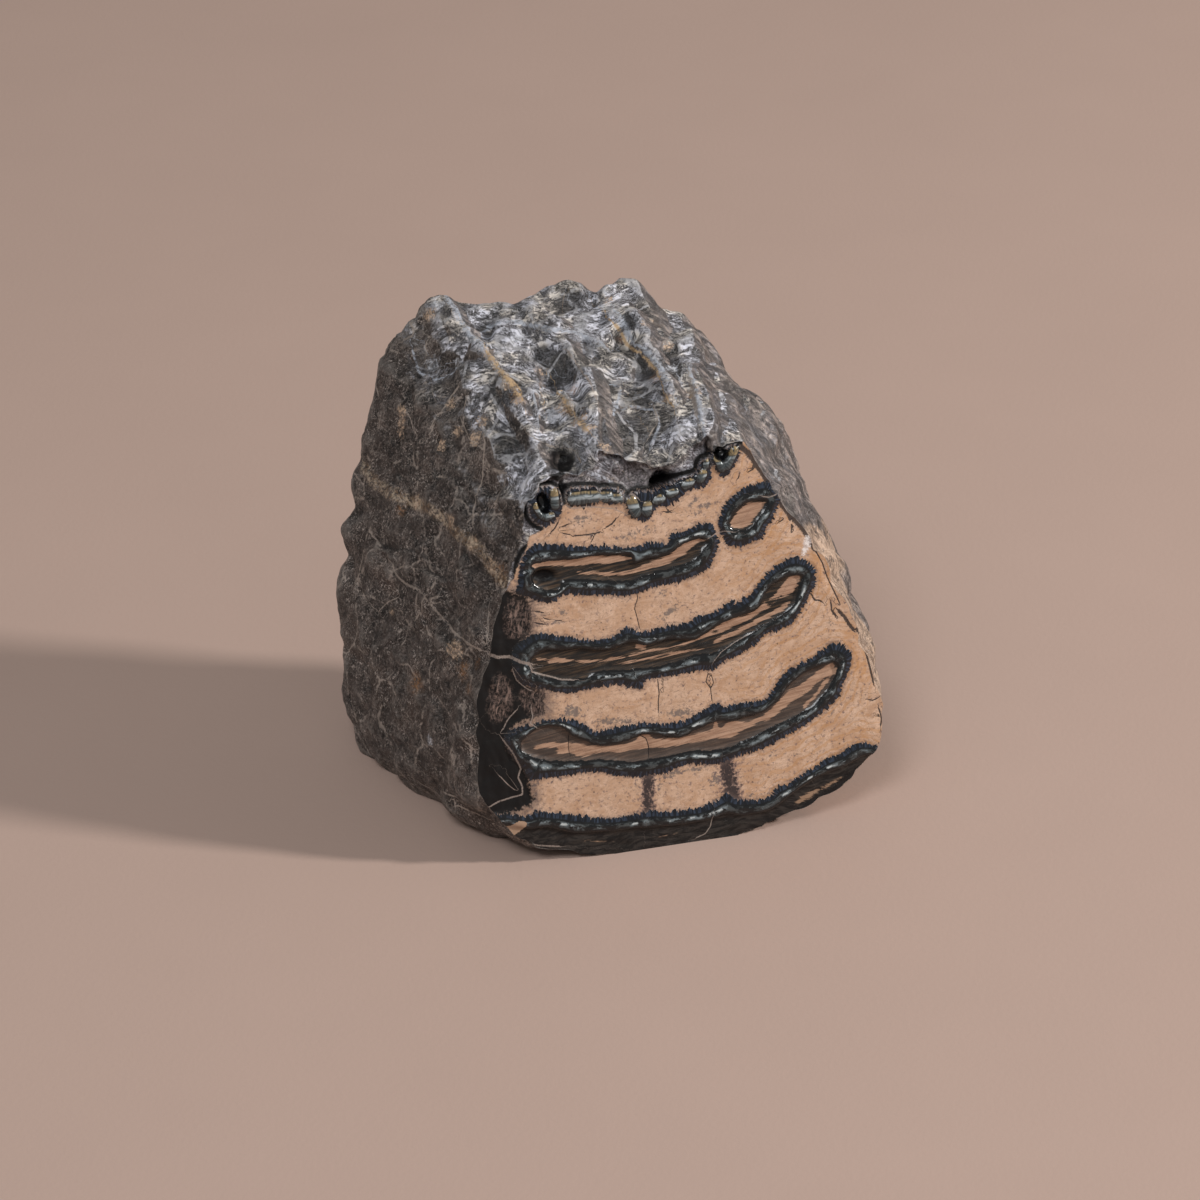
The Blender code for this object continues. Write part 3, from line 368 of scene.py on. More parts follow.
BLACK_LINES = (
    ((-1.6, 0.6, 79.2, -1.4, -4.1, 78.1, -1.6, -8.6, 76.8), 0.25),
    ((6.6, -15.2, 66, 9.4, -12.6, 68.4, 12.6, -11.6, 70), 0.5),
)

# A broad yellowish vein across the left of the outside
TAN_VEIN = (
    ((-49, 21, 55, -46, 15, 54, -43, 10, 55, -39, 7, 55, -36, 1, 57, -33, -2, 57, -31, -7, 57,
    -28, -11, 57, -25, -15, 57, -23, -18, 55, -20, -22, 54, -17, -26, 54), 1),
)

# Spots on the outside, as (x, y, z, reach)
CREAM_SPOTS = (
    (-41, 18, 69, 1.6), (-41, 17, 67, 1.5), (-41, 16, 65, 1.2), (-25, 4, 75, 2), (-31, 12, 74, 1.6),
    (-29, 6, 71, 1.6), (-33, 6, 68, 1.4), (-26, 2, 72, 1.8), (-30, -21, 38, 2.2), (-24, 18, 82, 1.6),
    (-47, 13, 56, 1.8), (-38, 5, 56, 1.8), (-31, -6, 58, 1.8), (-26, -13, 57, 2), (-22, -18, 55, 2),
    (-20, 9, 80, 1.8), (-18, 4, 79, 1.6), (-9, 3, 78, 2.2), (-6, -2, 78, 2.3), (-4, -5, 78, 1.6),
    (2, 21, 84, 1), (8, 13, 82, 1), (11, 3, 80, 1.3), (16, 5, 80, 1.8), (19, 9, 80, 1.4), (9, 25, 85, 1.8),
    (11, 19, 83, 1.6), (0, 30, 87, 1.6), (-36, 31, 84, 2), (-12, -16, 72, 0.9), (-43, 0, 34, 1),
    (-14, 14, 80, 1.3), (7, 22, 86, 1.4), (-1, -10, 76, 1.8), (24, -5, 74, 1.3),
)
RUST_SPOTS = (
    (-38, -14, 26, 2), (-28, -24, 35, 1.7), (-27, -27, 33, 1), (-41, 7, 53, 1), (-17, 4, 79, 1),
    (-8, 2, 78, 1), (-12, -16, 72, 0.7), (-7, 8, 79, 1.3), (-25, -26, 38, 1), (-21, -21, 55, 1.8),
    (2, 21, 84, 1.2), (9, 9, 81, 1.4), (-19, 6, 80, 1.2),
)
DARK_SPOTS = (
    (-10, 14, 81, 4.2), (-13, 18, 82, 2.2), (-1, 8, 80, 2.6), (5, -1, 75, 4.4), (6, 6, 79, 2.6),
    (-33, 9, 70, 5), (-27, 0, 71, 3.6), (-24, -8, 67, 4), (4, 24, 86, 2.4), (6, 18, 84, 1.4),
    (-20, -4, 73, 4.2), (-22, -13, 63, 3.4), (-8, 32, 86, 3.4), (-37, 27, 79, 3), (-30, 15, 77, 4),
    (7, 28, 86, 2.2), (19, -2, 79, 1.4), (10, -11, 70, 1.8), (-9, -8, 73, 1.5),
)
WHITE_SPOTS = (
    (-35, 23, 77, 2.2), (-30, 20, 79, 1.2), (-34, 33, 85, 1.8), (-26, 22, 83, 2.2), (17, 0, 79, 2),
    (-11, 2, 77, 2.4), (-10, -3, 76, 1.6), (-5, -5, 78, 1.7), (13, -9, 71, 2), (-21, -9, 69, 1.6),
    (-35, -22, 18, 1.6), (-16, -17, 68, 2), (5, -13, 67, 1.6), (-18, 22, 84, 2.4), (-6, 22, 84, 2.2),
    (12, 12, 82, 1.6),
)

HOLES = (
    (-9.3, -7.8, 72.2, 2.3), (-10, -14.5, 73, 1.4), (-12, -17, 70, 1.2), (10, -11, 69.5, 1.8),
    (20, -7, 74.5, 1.3),
)

OUTSIDE_LINES = {
    "vein": VEINS, "tanvein": TAN_VEIN, "blue": BLUE_LINES, "gold": GOLD_LINES, "black": BLACK_LINES,
}
OUTSIDE_SPOTS = {"cream": CREAM_SPOTS, "rust": RUST_SPOTS, "white": WHITE_SPOTS, "hole": HOLES}

# The floor, the camera and its lens
FLOOR_COLOUR = (0.475, 0.345, 0.29)
SEEN_FROM = (-2.0, -725.7, 472.6)
LOOKS_AT = (-2.0, 11.5, 29.7)
LENS = 129.0


def axes():
    """The ground face as (foot, across, upward, out), as arrays."""
    turn, lean = math.radians(FACE_TURN), math.radians(FACE_LEAN)
    out = Vector((math.sin(turn) * math.cos(lean), -math.cos(turn) * math.cos(lean), math.sin(lean)))
    across = Vector((math.cos(turn), math.sin(turn), 0.0))
    return [np.array(axis) for axis in (Vector((*FACE_FOOT, 0.0)), across, out.cross(across), out)]


FOOT, ACROSS, UPWARD, OUT = axes()
DOWN_RIGHT = np.array((0.58, 0.0, -0.81))
CENTRE = np.array(MIDDLE)


def ease(value, low, high):
    t = np.clip((value - low) / (high - low), 0.0, 1.0)
    return t * t * (3.0 - 2.0 * t)


# The rough outside


def outer_planes():
    """The flat sides of the corners' hull, as (normals, distances from the middle)."""
    bm = bmesh.new()
    for corner in np.reshape(OUTER_CORNERS, (-1, 3)):
        bm.verts.new(corner)
    for u, v in np.reshape(FACE_CORNERS, (-1, 2)):
        bm.verts.new(FOOT + ACROSS * u + UPWARD * v)
    bmesh.ops.convex_hull(bm, input=bm.verts)
    bmesh.ops.dissolve_limit(bm, angle_limit=math.radians(FLATTEN), verts=bm.verts, edges=bm.edges)
    normals, reaches = [OUT], [(FOOT - CENTRE) @ OUT + OVERCUT]
    for face in bm.faces:
        normal = np.array(face.normal)
        if normal @ OUT < 0.985:
            normals.append(normal)
            reaches.append((np.array(face.calc_center_median()) - CENTRE) @ normal)
    bm.free()
    return np.array(normals), np.array(reaches)


def smooth_radius(rays):
    normals, reaches = outer_planes()
    facing = np.maximum(rays @ normals.T, 0.0) / reaches
    return SWELL * (facing**SHARPNESS).sum(axis=1) ** (-1.0 / SHARPNESS)


def fractal(points, size, octaves, rough=0.9):
    """Fractal noise at every point, with features of about that size."""
    return np.array([noise.fractal(Vector(p), rough, 2.1, octaves) for p in points / size])


def plain_noise(points, size):
    return np.array([noise.noise(Vector(p)) for p in points / size])


def voronoi_gap(points, size):
    """How much farther the second nearest cell is than the nearest."""
    found = [noise.voronoi(Vector(p))[0] for p in points / size]
    return np.array([following - near for near, following, *_ in found])


def repeated_ridge(place, pitch, first):
    return np.abs(np.cos(math.pi * (place - first) / pitch)) - 0.6


def tooth_relief(points, facing):
    u, v = (points - FOOT) @ ACROSS, (points - FOOT) @ UPWARD
    wander = 2.5 * plain_noise(points, 14.0)
    top = ease(facing[:, 2], 0.45, 0.8)
    rear = ease(facing[:, 1], 0.25, 0.7) * (1.0 - top)
    fingers = repeated_ridge(u + wander, FINGER_PITCH, FIRST_FINGER)
    plates = repeated_ridge(v + wander, PLATE_PITCH, LOWEST_PLATE)
    return 1.0 * top * fingers + rear * (2.6 * plates + 1.2 * fingers)


def rock_relief(points):
    gap = voronoi_gap(points, 11.0)
    return 2.2 * (np.minimum(gap, 0.5) - 0.25) + 0.9 * fractal(points, 9.0, 3)


def to_line(points, places):
    """Every point's distance to a line through the places."""
    return line_side(points, places)[0]


def line_side(points, places, upward=None):
    """Distances to a line, negative on one side of it if upward is given, and how far along it each is."""
    places = np.reshape(np.array(places, float), (-1, points.shape[1]))
    best = np.full(len(points), 1e9)
    signed, run = best.copy(), np.zeros(len(points))
    walked = 0.0
    for start, end in zip(places[:-1], places[1:]):
        along = end - start
        length = np.linalg.norm(along)
        t = np.clip((points - start) @ along / length**2, 0.0, 1.0)
        gap = points - start - t[:, None] * along
        far = np.linalg.norm(gap, axis=1)
        nearer = far < best
        best[nearer] = far[nearer]
        run[nearer] = walked + t[nearer] * length
        side = 1.0 if upward is None else np.sign(np.einsum("ij,ij->i", np.cross(along, gap), upward))
        signed[nearer] = (far * side)[nearer]
        walked += length
    return signed, run


def knob_relief(points, knobs):
    relief = np.zeros(len(points))
    for x, y, z, reach, height in knobs:
        relief += height * np.exp(-((points - (x, y, z)) ** 2).sum(axis=1) / reach**2)
    return relief


def named_relief(points):
    relief = knob_relief(points, KNOBS)
    for places, half_width, height in RIDGES:
        relief += height * (1.0 - ease(to_line(points, places), 0.0, half_width))
    return relief


def vertex_normals(mesh):
    mesh.update()
    normals = np.empty(len(mesh.vertices) * 3, np.float32)
    mesh.vertex_normals.foreach_get("vector", normals)
    return normals.reshape(-1, 3).astype(float)


def places_of(mesh):
    co = np.empty(len(mesh.vertices) * 3, np.float32)
    mesh.vertices.foreach_get("co", co)
    return co.reshape(-1, 3).astype(float)


def put_places(mesh, points):
    mesh.vertices.foreach_set("co", points.astype(np.float32).ravel())
    mesh.update()


def keep(mesh, name, values, where=slice(None)):
    """Stores one number for every point, or only for those that where picks."""
    layer = mesh.attributes.get(name) or mesh.attributes.new(name, "FLOAT", "POINT")
    whole = np.zeros(len(mesh.vertices), np.float32)
    layer.data.foreach_get("value", whole)
    whole[where] = values
    layer.data.foreach_set("value", whole)


def scoops(points, size, shift):
    """Shell-shaped hollows of about that size, as the distance to the edge, the rise and a number each."""
    rise, gap, own = (np.empty(len(points)) for _ in range(3))
    for index, place in enumerate(points / size + shift):
        (near, following, *_), (centre, *_) = noise.voronoi(Vector(place))
        rise[index] = near * near - 0.3
        gap[index] = following - near
        own[index] = noise.cell(centre * 7.0)
    return gap * size, rise, own


def fine_relief(mesh, where, points, facing):
    """Hollows, strands and roughness in millimetres. The hollows' edges are kept for the colours."""
    shifts = [plain_noise(points + shift, 6.0) for shift in (0.0, 31.0, 57.0)]
    warped = (points + 1.3 * np.stack(shifts, axis=1)) * (1.0, 0.8, 1.0)
    big_gap, big_rise, big_own = scoops(warped, BIG_SCOOP, 0.0)
    small_rise = scoops(warped, SMALL_SCOOP, 40.0)[1]
    top = ease(facing[:, 2], 0.25, 0.65) * (1.0 - 0.7 * ease(facing[:, 0], 0.35, 0.65))
    smooth = ease(big_own, 0.5, 0.6) * ease(big_gap, 0.1, 0.5)
    smooth = np.maximum(smooth, ease(spots(points, DARK_SPOTS), 0.3, 0.6))
    keep(mesh, "gap", big_gap, where)
    keep(mesh, "smooth", smooth, where)
    relief = (0.12 + 0.88 * top) * BIG_DEPTH * big_rise
    relief += top * (1.0 - 0.85 * smooth) * SMALL_DEPTH * small_rise
    strands = 0.5 - np.abs(fractal(points * (0.4, 1.0, 1.0), 2.6, 3))
    relief += STRAND_HEIGHT * top * (1.0 - 0.8 * smooth) * strands
    sides = 0.3 * plain_noise(points, 9.0) + 0.06 * fractal(points * (1.0, 1.0, 0.4), 2.2, 3)
    relief += (1.0 - top) * sides
    for lines, height, spread in ((GOLD_LINES + BLUE_LINES, 0.45, 1.6), (BLACK_LINES, -0.5, 2.0)):
        for places, half_width in lines:
            relief += height * (1.0 - ease(to_line(points, places), 0.0, spread * half_width))
    return relief + 0.03 * fractal(points, 1.2, 3, 0.6) + knob_relief(points, FINE_KNOBS)


def standing(mesh, rounds):
    """How far every point stands above its smoothed surroundings, in millimetres."""
    points, normals = places_of(mesh), vertex_normals(mesh)
    ends = np.empty(len(mesh.edges) * 2, np.int64)
    mesh.edges.foreach_get("vertices", ends)
    first, second = ends.reshape(-1, 2).T
    count = len(points)
    many = np.maximum(np.bincount(ends, minlength=count), 1)[:, None]

    def over_neighbours(values):
        return np.bincount(first, values[second], count) + np.bincount(second, values[first], count)

    smooth = points
    for _ in range(rounds):
        smooth = np.stack([over_neighbours(smooth[:, axis]) for axis in range(3)], axis=1) / many
    return ((points - smooth) * normals).sum(axis=1)


def spots(points, places):
    """How far inside the nearest spot each point is: 1 at its middle and 0 beyond its reach."""
    best = np.zeros(len(points))
    for x, y, z, reach in places:
        far = np.linalg.norm(points - (x, y, z), axis=1)
        best = np.maximum(best, 1.0 - ease(far, 0.2 * reach, 1.6 * reach))
    return best


def nearest_line(points, lines, upward):
    """The signed distance to the nearest line, as a share of that line's half width."""
    best = np.full(len(points), 1e9)
    for places, half_width in lines:
        share = line_side(points, places, upward)[0] / half_width
        nearer = np.abs(share) < np.abs(best)
        best[nearer] = share[nearer]
    return np.clip(best, -30.0, 30.0)


def mark_outside(mesh):
    """The outside's colour masks."""
    points, normals = places_of(mesh), vertex_normals(mesh)
    for name, lines in OUTSIDE_LINES.items():
        keep(mesh, name, nearest_line(points, lines, normals))
    for name, places in OUTSIDE_SPOTS.items():
        keep(mesh, name, spots(points, places))
    uv, depth = face_places(points), (FOOT - points) @ OUT
    broad = ease(normals[:, 2] + 0.1 * plain_noise(points, 6.0), 0.42, 0.62)
    rightward = points[:, 0] + 0.9 * (points[:, 2] - 74.0)
    top = broad * ease(points[:, 2], 50.0, 62.0)
    top *= 0.42 * ease(rightward, -46.0, -36.0) + 0.58 * ease(rightward, -29.0, -19.0)
    lip = ease(uv[:, 1], 56.0, 62.0) * (1.0 - ease(depth, 6.0, 14.0)) * ease(uv[:, 0], -13.0, -6.0)
    right = ease(normals[:, 0], 0.25, 0.6)
    wander = 9.0 * plain_noise(points, 13.0) + 4.0 * plain_noise(points, 5.0)
    near = (1.0 - ease(depth + wander, 5.0, 19.0)) * (1.0 - ease(uv[:, 1] + wander, 50.0, 66.0))
    keep(mesh, "top", np.maximum(top, 0.85 * lip))
    keep(mesh, "right", right)
    keep(mesh, "edge", right * near)
    keep(mesh, "run", points @ DOWN_RIGHT)
    keep(mesh, "behind", points @ OUT)
    keep(mesh, "ridge", standing(mesh, 7))


def make_rough():
    """The whole outside before it is ground and cut, as a mesh in millimetres."""
    bm = bmesh.new()
    bmesh.ops.create_icosphere(bm, subdivisions=SPHERE_LEVEL, radius=1.0)
    mesh = bpy.data.meshes.new("rough")
    bm.to_mesh(mesh)
    bm.free()
    rays = places_of(mesh)
    points = CENTRE + rays * smooth_radius(rays)[:, None]
    put_places(mesh, points)
    kept = np.minimum(1.0 - ease((points - FOOT) @ OUT, 1.0, 3.0), ease(points[:, 2], -3.0, -1.0))
    relief = tooth_relief(points, vertex_normals(mesh)) + rock_relief(points) + named_relief(points)
    points = points + rays * (relief * kept)[:, None]
    put_places(mesh, points)
    normals = vertex_normals(mesh)
    relief = fine_relief(mesh, np.ones(len(points), bool), points, normals)
    behind, upward = (FOOT - points) @ OUT, (points - FOOT) @ UPWARD
    relief *= kept * np.maximum(ease(behind, 0.0, 5.0), np.maximum(0.15, ease(upward, 56.0, 64.0)))
    put_places(mesh, points + normals * relief[:, None])
    return mesh


def add_object(name, data):
    thing = bpy.data.objects.new(name, data)
    bpy.context.scene.collection.objects.link(thing)
    return thing


def thin_mesh(mesh, triangles):
    guide = add_object("guide", mesh)
    thin = guide.modifiers.new("thin", "DECIMATE")
    thin.ratio = min(1.0, triangles / len(mesh.polygons))
    graph = bpy.context.evaluated_depsgraph_get()
    thinned = bpy.data.meshes.new_from_object(guide.evaluated_get(graph))
    bpy.data.objects.remove(guide)
    return thinned


def cut_flat(bm, point, out):
    """Cuts away what lies beyond a plane. Returns the cut's edges."""
    everything = bm.verts[:] + bm.edges[:] + bm.faces[:]
    plane = {"plane_co": Vector(point), "plane_no": Vector(out)}
    cut = bmesh.ops.bisect_plane(bm, geom=everything, clear_outer=True, **plane)
    return [item for item in cut["geom_cut"] if isinstance(item, bmesh.types.BMEdge)]


# The ground face


def rim_loops(edges):
    """The cut's edges as closed loops of points, the longest first."""
    loops, left = [], set(edges)
    while left:
        edge = left.pop()
        loop = [edge.verts[0], edge.verts[1]]
        while loop[-1] is not loop[0]:
            step = next((e for e in loop[-1].link_edges if e in left), None)
            if step is None:
                break
            left.discard(step)
            loop.append(step.other_vert(loop[-1]))
        if loop[-1] is loop[0]:
            loops.append(loop[:-1])
    return sorted(loops, key=len, reverse=True)


def inside(points, outline):
    """Which points lie inside an outline."""
    odd = np.zeros(len(points), bool)
    x, y = points[:, 0], points[:, 1]
    for (x0, y0), (x1, y1) in zip(outline, np.roll(outline, -1, axis=0)):
        if y0 != y1:
            odd ^= ((y0 > y) != (y1 > y)) & (x < x0 + (x1 - x0) * (y - y0) / (y1 - y0))
    return odd


def closed(outline):
    return np.vstack([outline, outline[:1]])


def depth_in(points, outline):
    """How deep inside an outline every point is, negative outside it, and how far round it is nearest."""
    far, run = line_side(points, closed(outline))
    return np.where(inside(points, outline), np.abs(far), -np.abs(far)), run


def rounded(outline, steps=4):
    """The same outline as a smooth curve through its points."""
    given = np.reshape(np.array(outline, float), (-1, 2))
    before, after, second = (np.roll(given, shift, axis=0) for shift in (1, -1, -2))
    parts = []
    for t in np.arange(steps) / steps:
        slope = (after - before) * t
        bend = (2 * before - 5 * given + 4 * after - second) * t**2
        parts.append(0.5 * (2 * given + slope + bend + (3 * given - before - 3 * after + second) * t**3))
    return np.stack(parts, axis=1).reshape(-1, 2)


def face_places(points):
    """Points as (u, v)."""
    return np.stack([(points - FOOT) @ ACROSS, (points - FOOT) @ UPWARD], axis=1)


def fill_face(bm, rim):
    """A fine mesh of the ground face inside its rim."""
    edge = face_places(np.array([vert.co for vert in rim]))
    low, high = edge.min(axis=0), edge.max(axis=0)
    rows = np.arange(low[1], high[1], FACE_GRID * 0.866)
    columns = np.arange(low[0], high[0], FACE_GRID)
    grid = np.array([(x + (i % 2) * FACE_GRID / 2, y) for i, y in enumerate(rows) for x in columns])
    grid = grid[inside(grid, edge)]
    grid = grid[np.abs(line_side(grid, closed(edge))[0]) > 0.45 * FACE_GRID]
    everything = np.vstack([edge, grid])
    made = geometry.delaunay_2d_cdt([Vector(p) for p in everything], [], [list(range(len(edge)))], 1, 1e-6)
    verts = {}
    for index, (place, sources) in enumerate(zip(made[0], made[3])):
        source = min(sources) if sources else len(edge)
        if source < len(rim):
            verts[index] = rim[source]
        else:
            verts[index] = bm.verts.new(Vector(FOOT + ACROSS * place[0] + UPWARD * place[1]))
    out = Vector(OUT)
    for corners in made[2]:
        triangle = [verts[i] for i in corners]
        if len(set(triangle)) == 3:
            face = bm.faces.new(triangle)
            face.normal_update()
            if face.normal.dot(out) < 0:
                face.normal_flip()
            face.material_index = 1


def turned(uv, u, v, wide, high, turn):
    """Places in an ellipse's own measure, where its edge is 1 away from its middle."""
    a = math.radians(turn)
    du, dv = uv[:, 0] - u, uv[:, 1] - v
    return (du * math.cos(a) + dv * math.sin(a)) / wide, (dv * math.cos(a) - du * math.sin(a)) / high


def paint_stains(uv, stains):
    total = np.zeros(len(uv))
    for *ellipse, strength in stains:
        x, y = turned(uv, *ellipse)
        total = np.maximum(total, strength * np.exp(-0.8 * (x * x + y * y)))
    return total


def paint_cracks(uv, cracks):
    total = np.zeros(len(uv))
    for places, half_width in cracks:
        far = to_line(uv, places) / half_width
        total = np.maximum(total, np.exp(-0.7 * far * far))
    return total


def union_depth(uv, outlines, steps=3):
    """How deep inside any of the outlines every point is."""
    best = np.full(len(uv), -1e9)
    for outline in outlines:
        best = np.maximum(best, depth_in(uv, rounded(outline, steps))[0])
    return best


def enamel_place(uv):
    """Every point's depth inside the bands' outer and inner edges, and its place along the band."""
    outer, inner, along = np.full(len(uv), -1e9), np.full(len(uv), -1e9), np.zeros(len(uv))
    for number, (outline, hollow) in enumerate(BANDS):
        depth, run = depth_in(uv, rounded(outline))
        nearer = depth > outer
        outer[nearer] = depth[nearer]
        along[nearer] = run[nearer] + 40.0 * number
        if hollow:
            inner = np.maximum(inner, depth_in(uv, rounded(hollow))[0])
    return outer, inner, along


def barrel_height(uv):
    """The height of the round barrels, and how far above a barrel's middle every point is."""
    best, side = np.zeros(len(uv)), np.zeros(len(uv))
    for start, end, radius in BARRELS:
        places = np.array([start, end])
        height = np.sqrt(np.maximum(1.0 - (to_line(uv, places) / radius) ** 2, 0.0))
        higher = height > best
        best[higher] = height[higher]
        side[higher] = ((uv[:, 1] - places[:, 1].mean()) / radius)[higher]
    return best, side


def pit_depth(uv):
    total = np.zeros(len(uv))
    for *ellipse, deep in FACE_PITS:
        total = np.maximum(total, deep * (1.0 - ease(np.hypot(*turned(uv, *ellipse)), 0.5, 1.15)))
    return total


def flat_lines(uv, lines):
    """The signed distance to the nearest of the lines on the ground face, as a share of its half width."""
    points = np.column_stack([uv, np.zeros(len(uv))])
    raised = [(np.insert(np.reshape(places, (-1, 2)), 2, 0, axis=1), width) for places, width in lines]
    return nearest_line(points, raised, np.tile((0.0, 0.0, 1.0), (len(uv), 1)))


def mark_face(mesh):
    """The ground face's colour masks and its slight relief."""
    points = places_of(mesh)
    on_face = np.abs((points - FOOT) @ OUT) < 0.02
    flat = points[on_face]
    uv = face_places(flat)
    outer, inner, along = enamel_place(uv)
    barrel, side = barrel_height(uv)
    masks = {
        "u": uv[:, 0],
        "v": uv[:, 1],
        "outer": np.clip(outer, -30.0, 30.0),
        "inner": np.clip(inner, -30.0, 30.0),
        "along": along,
        "tan": np.minimum(union_depth(uv, TAN_STREAKS), -union_depth(uv, DARK_WEDGES)),
        "low": depth_in(uv, rounded(BANDS[0][1]))[0],
        "strip": depth_in(uv, rounded(BLACK_STRIP))[0],
        "lip": depth_in(uv, rounded(LIP))[0],
        "pink": union_depth(uv, PINK_PATCHES),
        "patch": union_depth(uv, (TAN_PATCH,)),
        "chip": union_depth(uv, (WHITE_CHIP,)),
        "crack": flat_lines(uv, DARK_LINES),
        "pale": flat_lines(uv, PALE_LINES),
        "grey": paint_stains(uv, GREY_STAINS),
        "warm": paint_stains(uv, WARM_STAINS),
        "purple": paint_cracks(uv, PURPLE_CRACKS),
        "barrel": barrel,
        "side": side,
        "pit": pit_depth(uv),
    }
    for name, values in masks.items():
        keep(mesh, name, values, on_face)
    rock = fine_relief(mesh, on_face, flat, np.tile(OUT, (len(flat), 1)))
    points[on_face] = flat + OUT * face_height(uv, masks, rock)[:, None]
    points[:, 2] = np.maximum(points[:, 2], 0.0)
    put_places(mesh, points)


def face_height(uv, masks, rock):
    """How far the ground face stands above or below its plane."""
    flat = np.column_stack([uv, np.zeros(len(uv))])
    along, outer, inner = masks["along"], masks["outer"], masks["inner"]
    line = np.column_stack([along, np.zeros(len(uv)), np.zeros(len(uv))])
    beads = plain_noise(line, 2.6)
    teeth = 0.3 * plain_noise(line + (0.0, 5.0, 0.0), 0.8)
    share = outer / np.maximum(outer - inner, 0.2)
    tube = np.sqrt(np.clip(1.0 - ((share - 0.6) / 0.42) ** 2, 0.0, 1.0))
    on_band = ease(outer + teeth, -0.1, 0.4) * ease(-inner, -0.1, 0.2)
    height = ENAMEL_RISE * on_band * (0.25 + 0.75 * tube * (0.75 + 0.6 * beads))
    height -= 0.3 * ease(inner, 0.0, 0.5) * (1.0 + 0.5 * fractal(flat * (0.3, 1.0, 1.0), 1.5, 3, 0.8))
    height += 0.05 * fractal(flat, 4.0, 4, 0.8) * (1.0 - on_band)
    lip = masks["lip"]
    rocky = ease(lip, 0.0, 1.2) * (1.0 - ease(outer, -0.6, 0.2))
    height = height * (1.0 - rocky) + rocky * (1.2 * rock - 0.4 - 0.25 * np.maximum(lip, 0.0))
    barrel = masks["barrel"]
    height = np.where(barrel > 0.0, np.maximum(height, 0.8 * barrel - 0.15), height)
    strip = masks["strip"]
    height -= 0.22 * ease(strip, 0.0, 1.0) * (1.0 + fractal(flat * (2.0, 0.7, 1.0), 3.0, 3, 0.8))
    height -= 0.12 * np.exp(-((masks["crack"] * 0.2) ** 2)) + 0.05 * np.exp(-((masks["pale"] * 0.5) ** 2))
    return np.minimum(height, 0.6) - masks["pit"]


# Materials


class Value:
    """A number, colour or place in a shader. Arithmetic on it adds nodes."""

    def __init__(self, nodes, socket):
        self.nodes, self.socket = nodes, socket

    def __add__(self, other):
        return self.nodes.math("ADD", self, other)

    def __radd__(self, other):
        return self.nodes.math("ADD", other, self)

    def __sub__(self, other):
        return self.nodes.math("SUBTRACT", self, other)

    def __rsub__(self, other):
        return self.nodes.math("SUBTRACT", other, self)

    def __mul__(self, other):
        return self.nodes.math("MULTIPLY", self, other)

    def __rmul__(self, other):
        return self.nodes.math("MULTIPLY", self, other)

    def __truediv__(self, other):
        return self.nodes.math("DIVIDE", self, other)

    def __abs__(self):
        return self.nodes.math("ABSOLUTE", self)


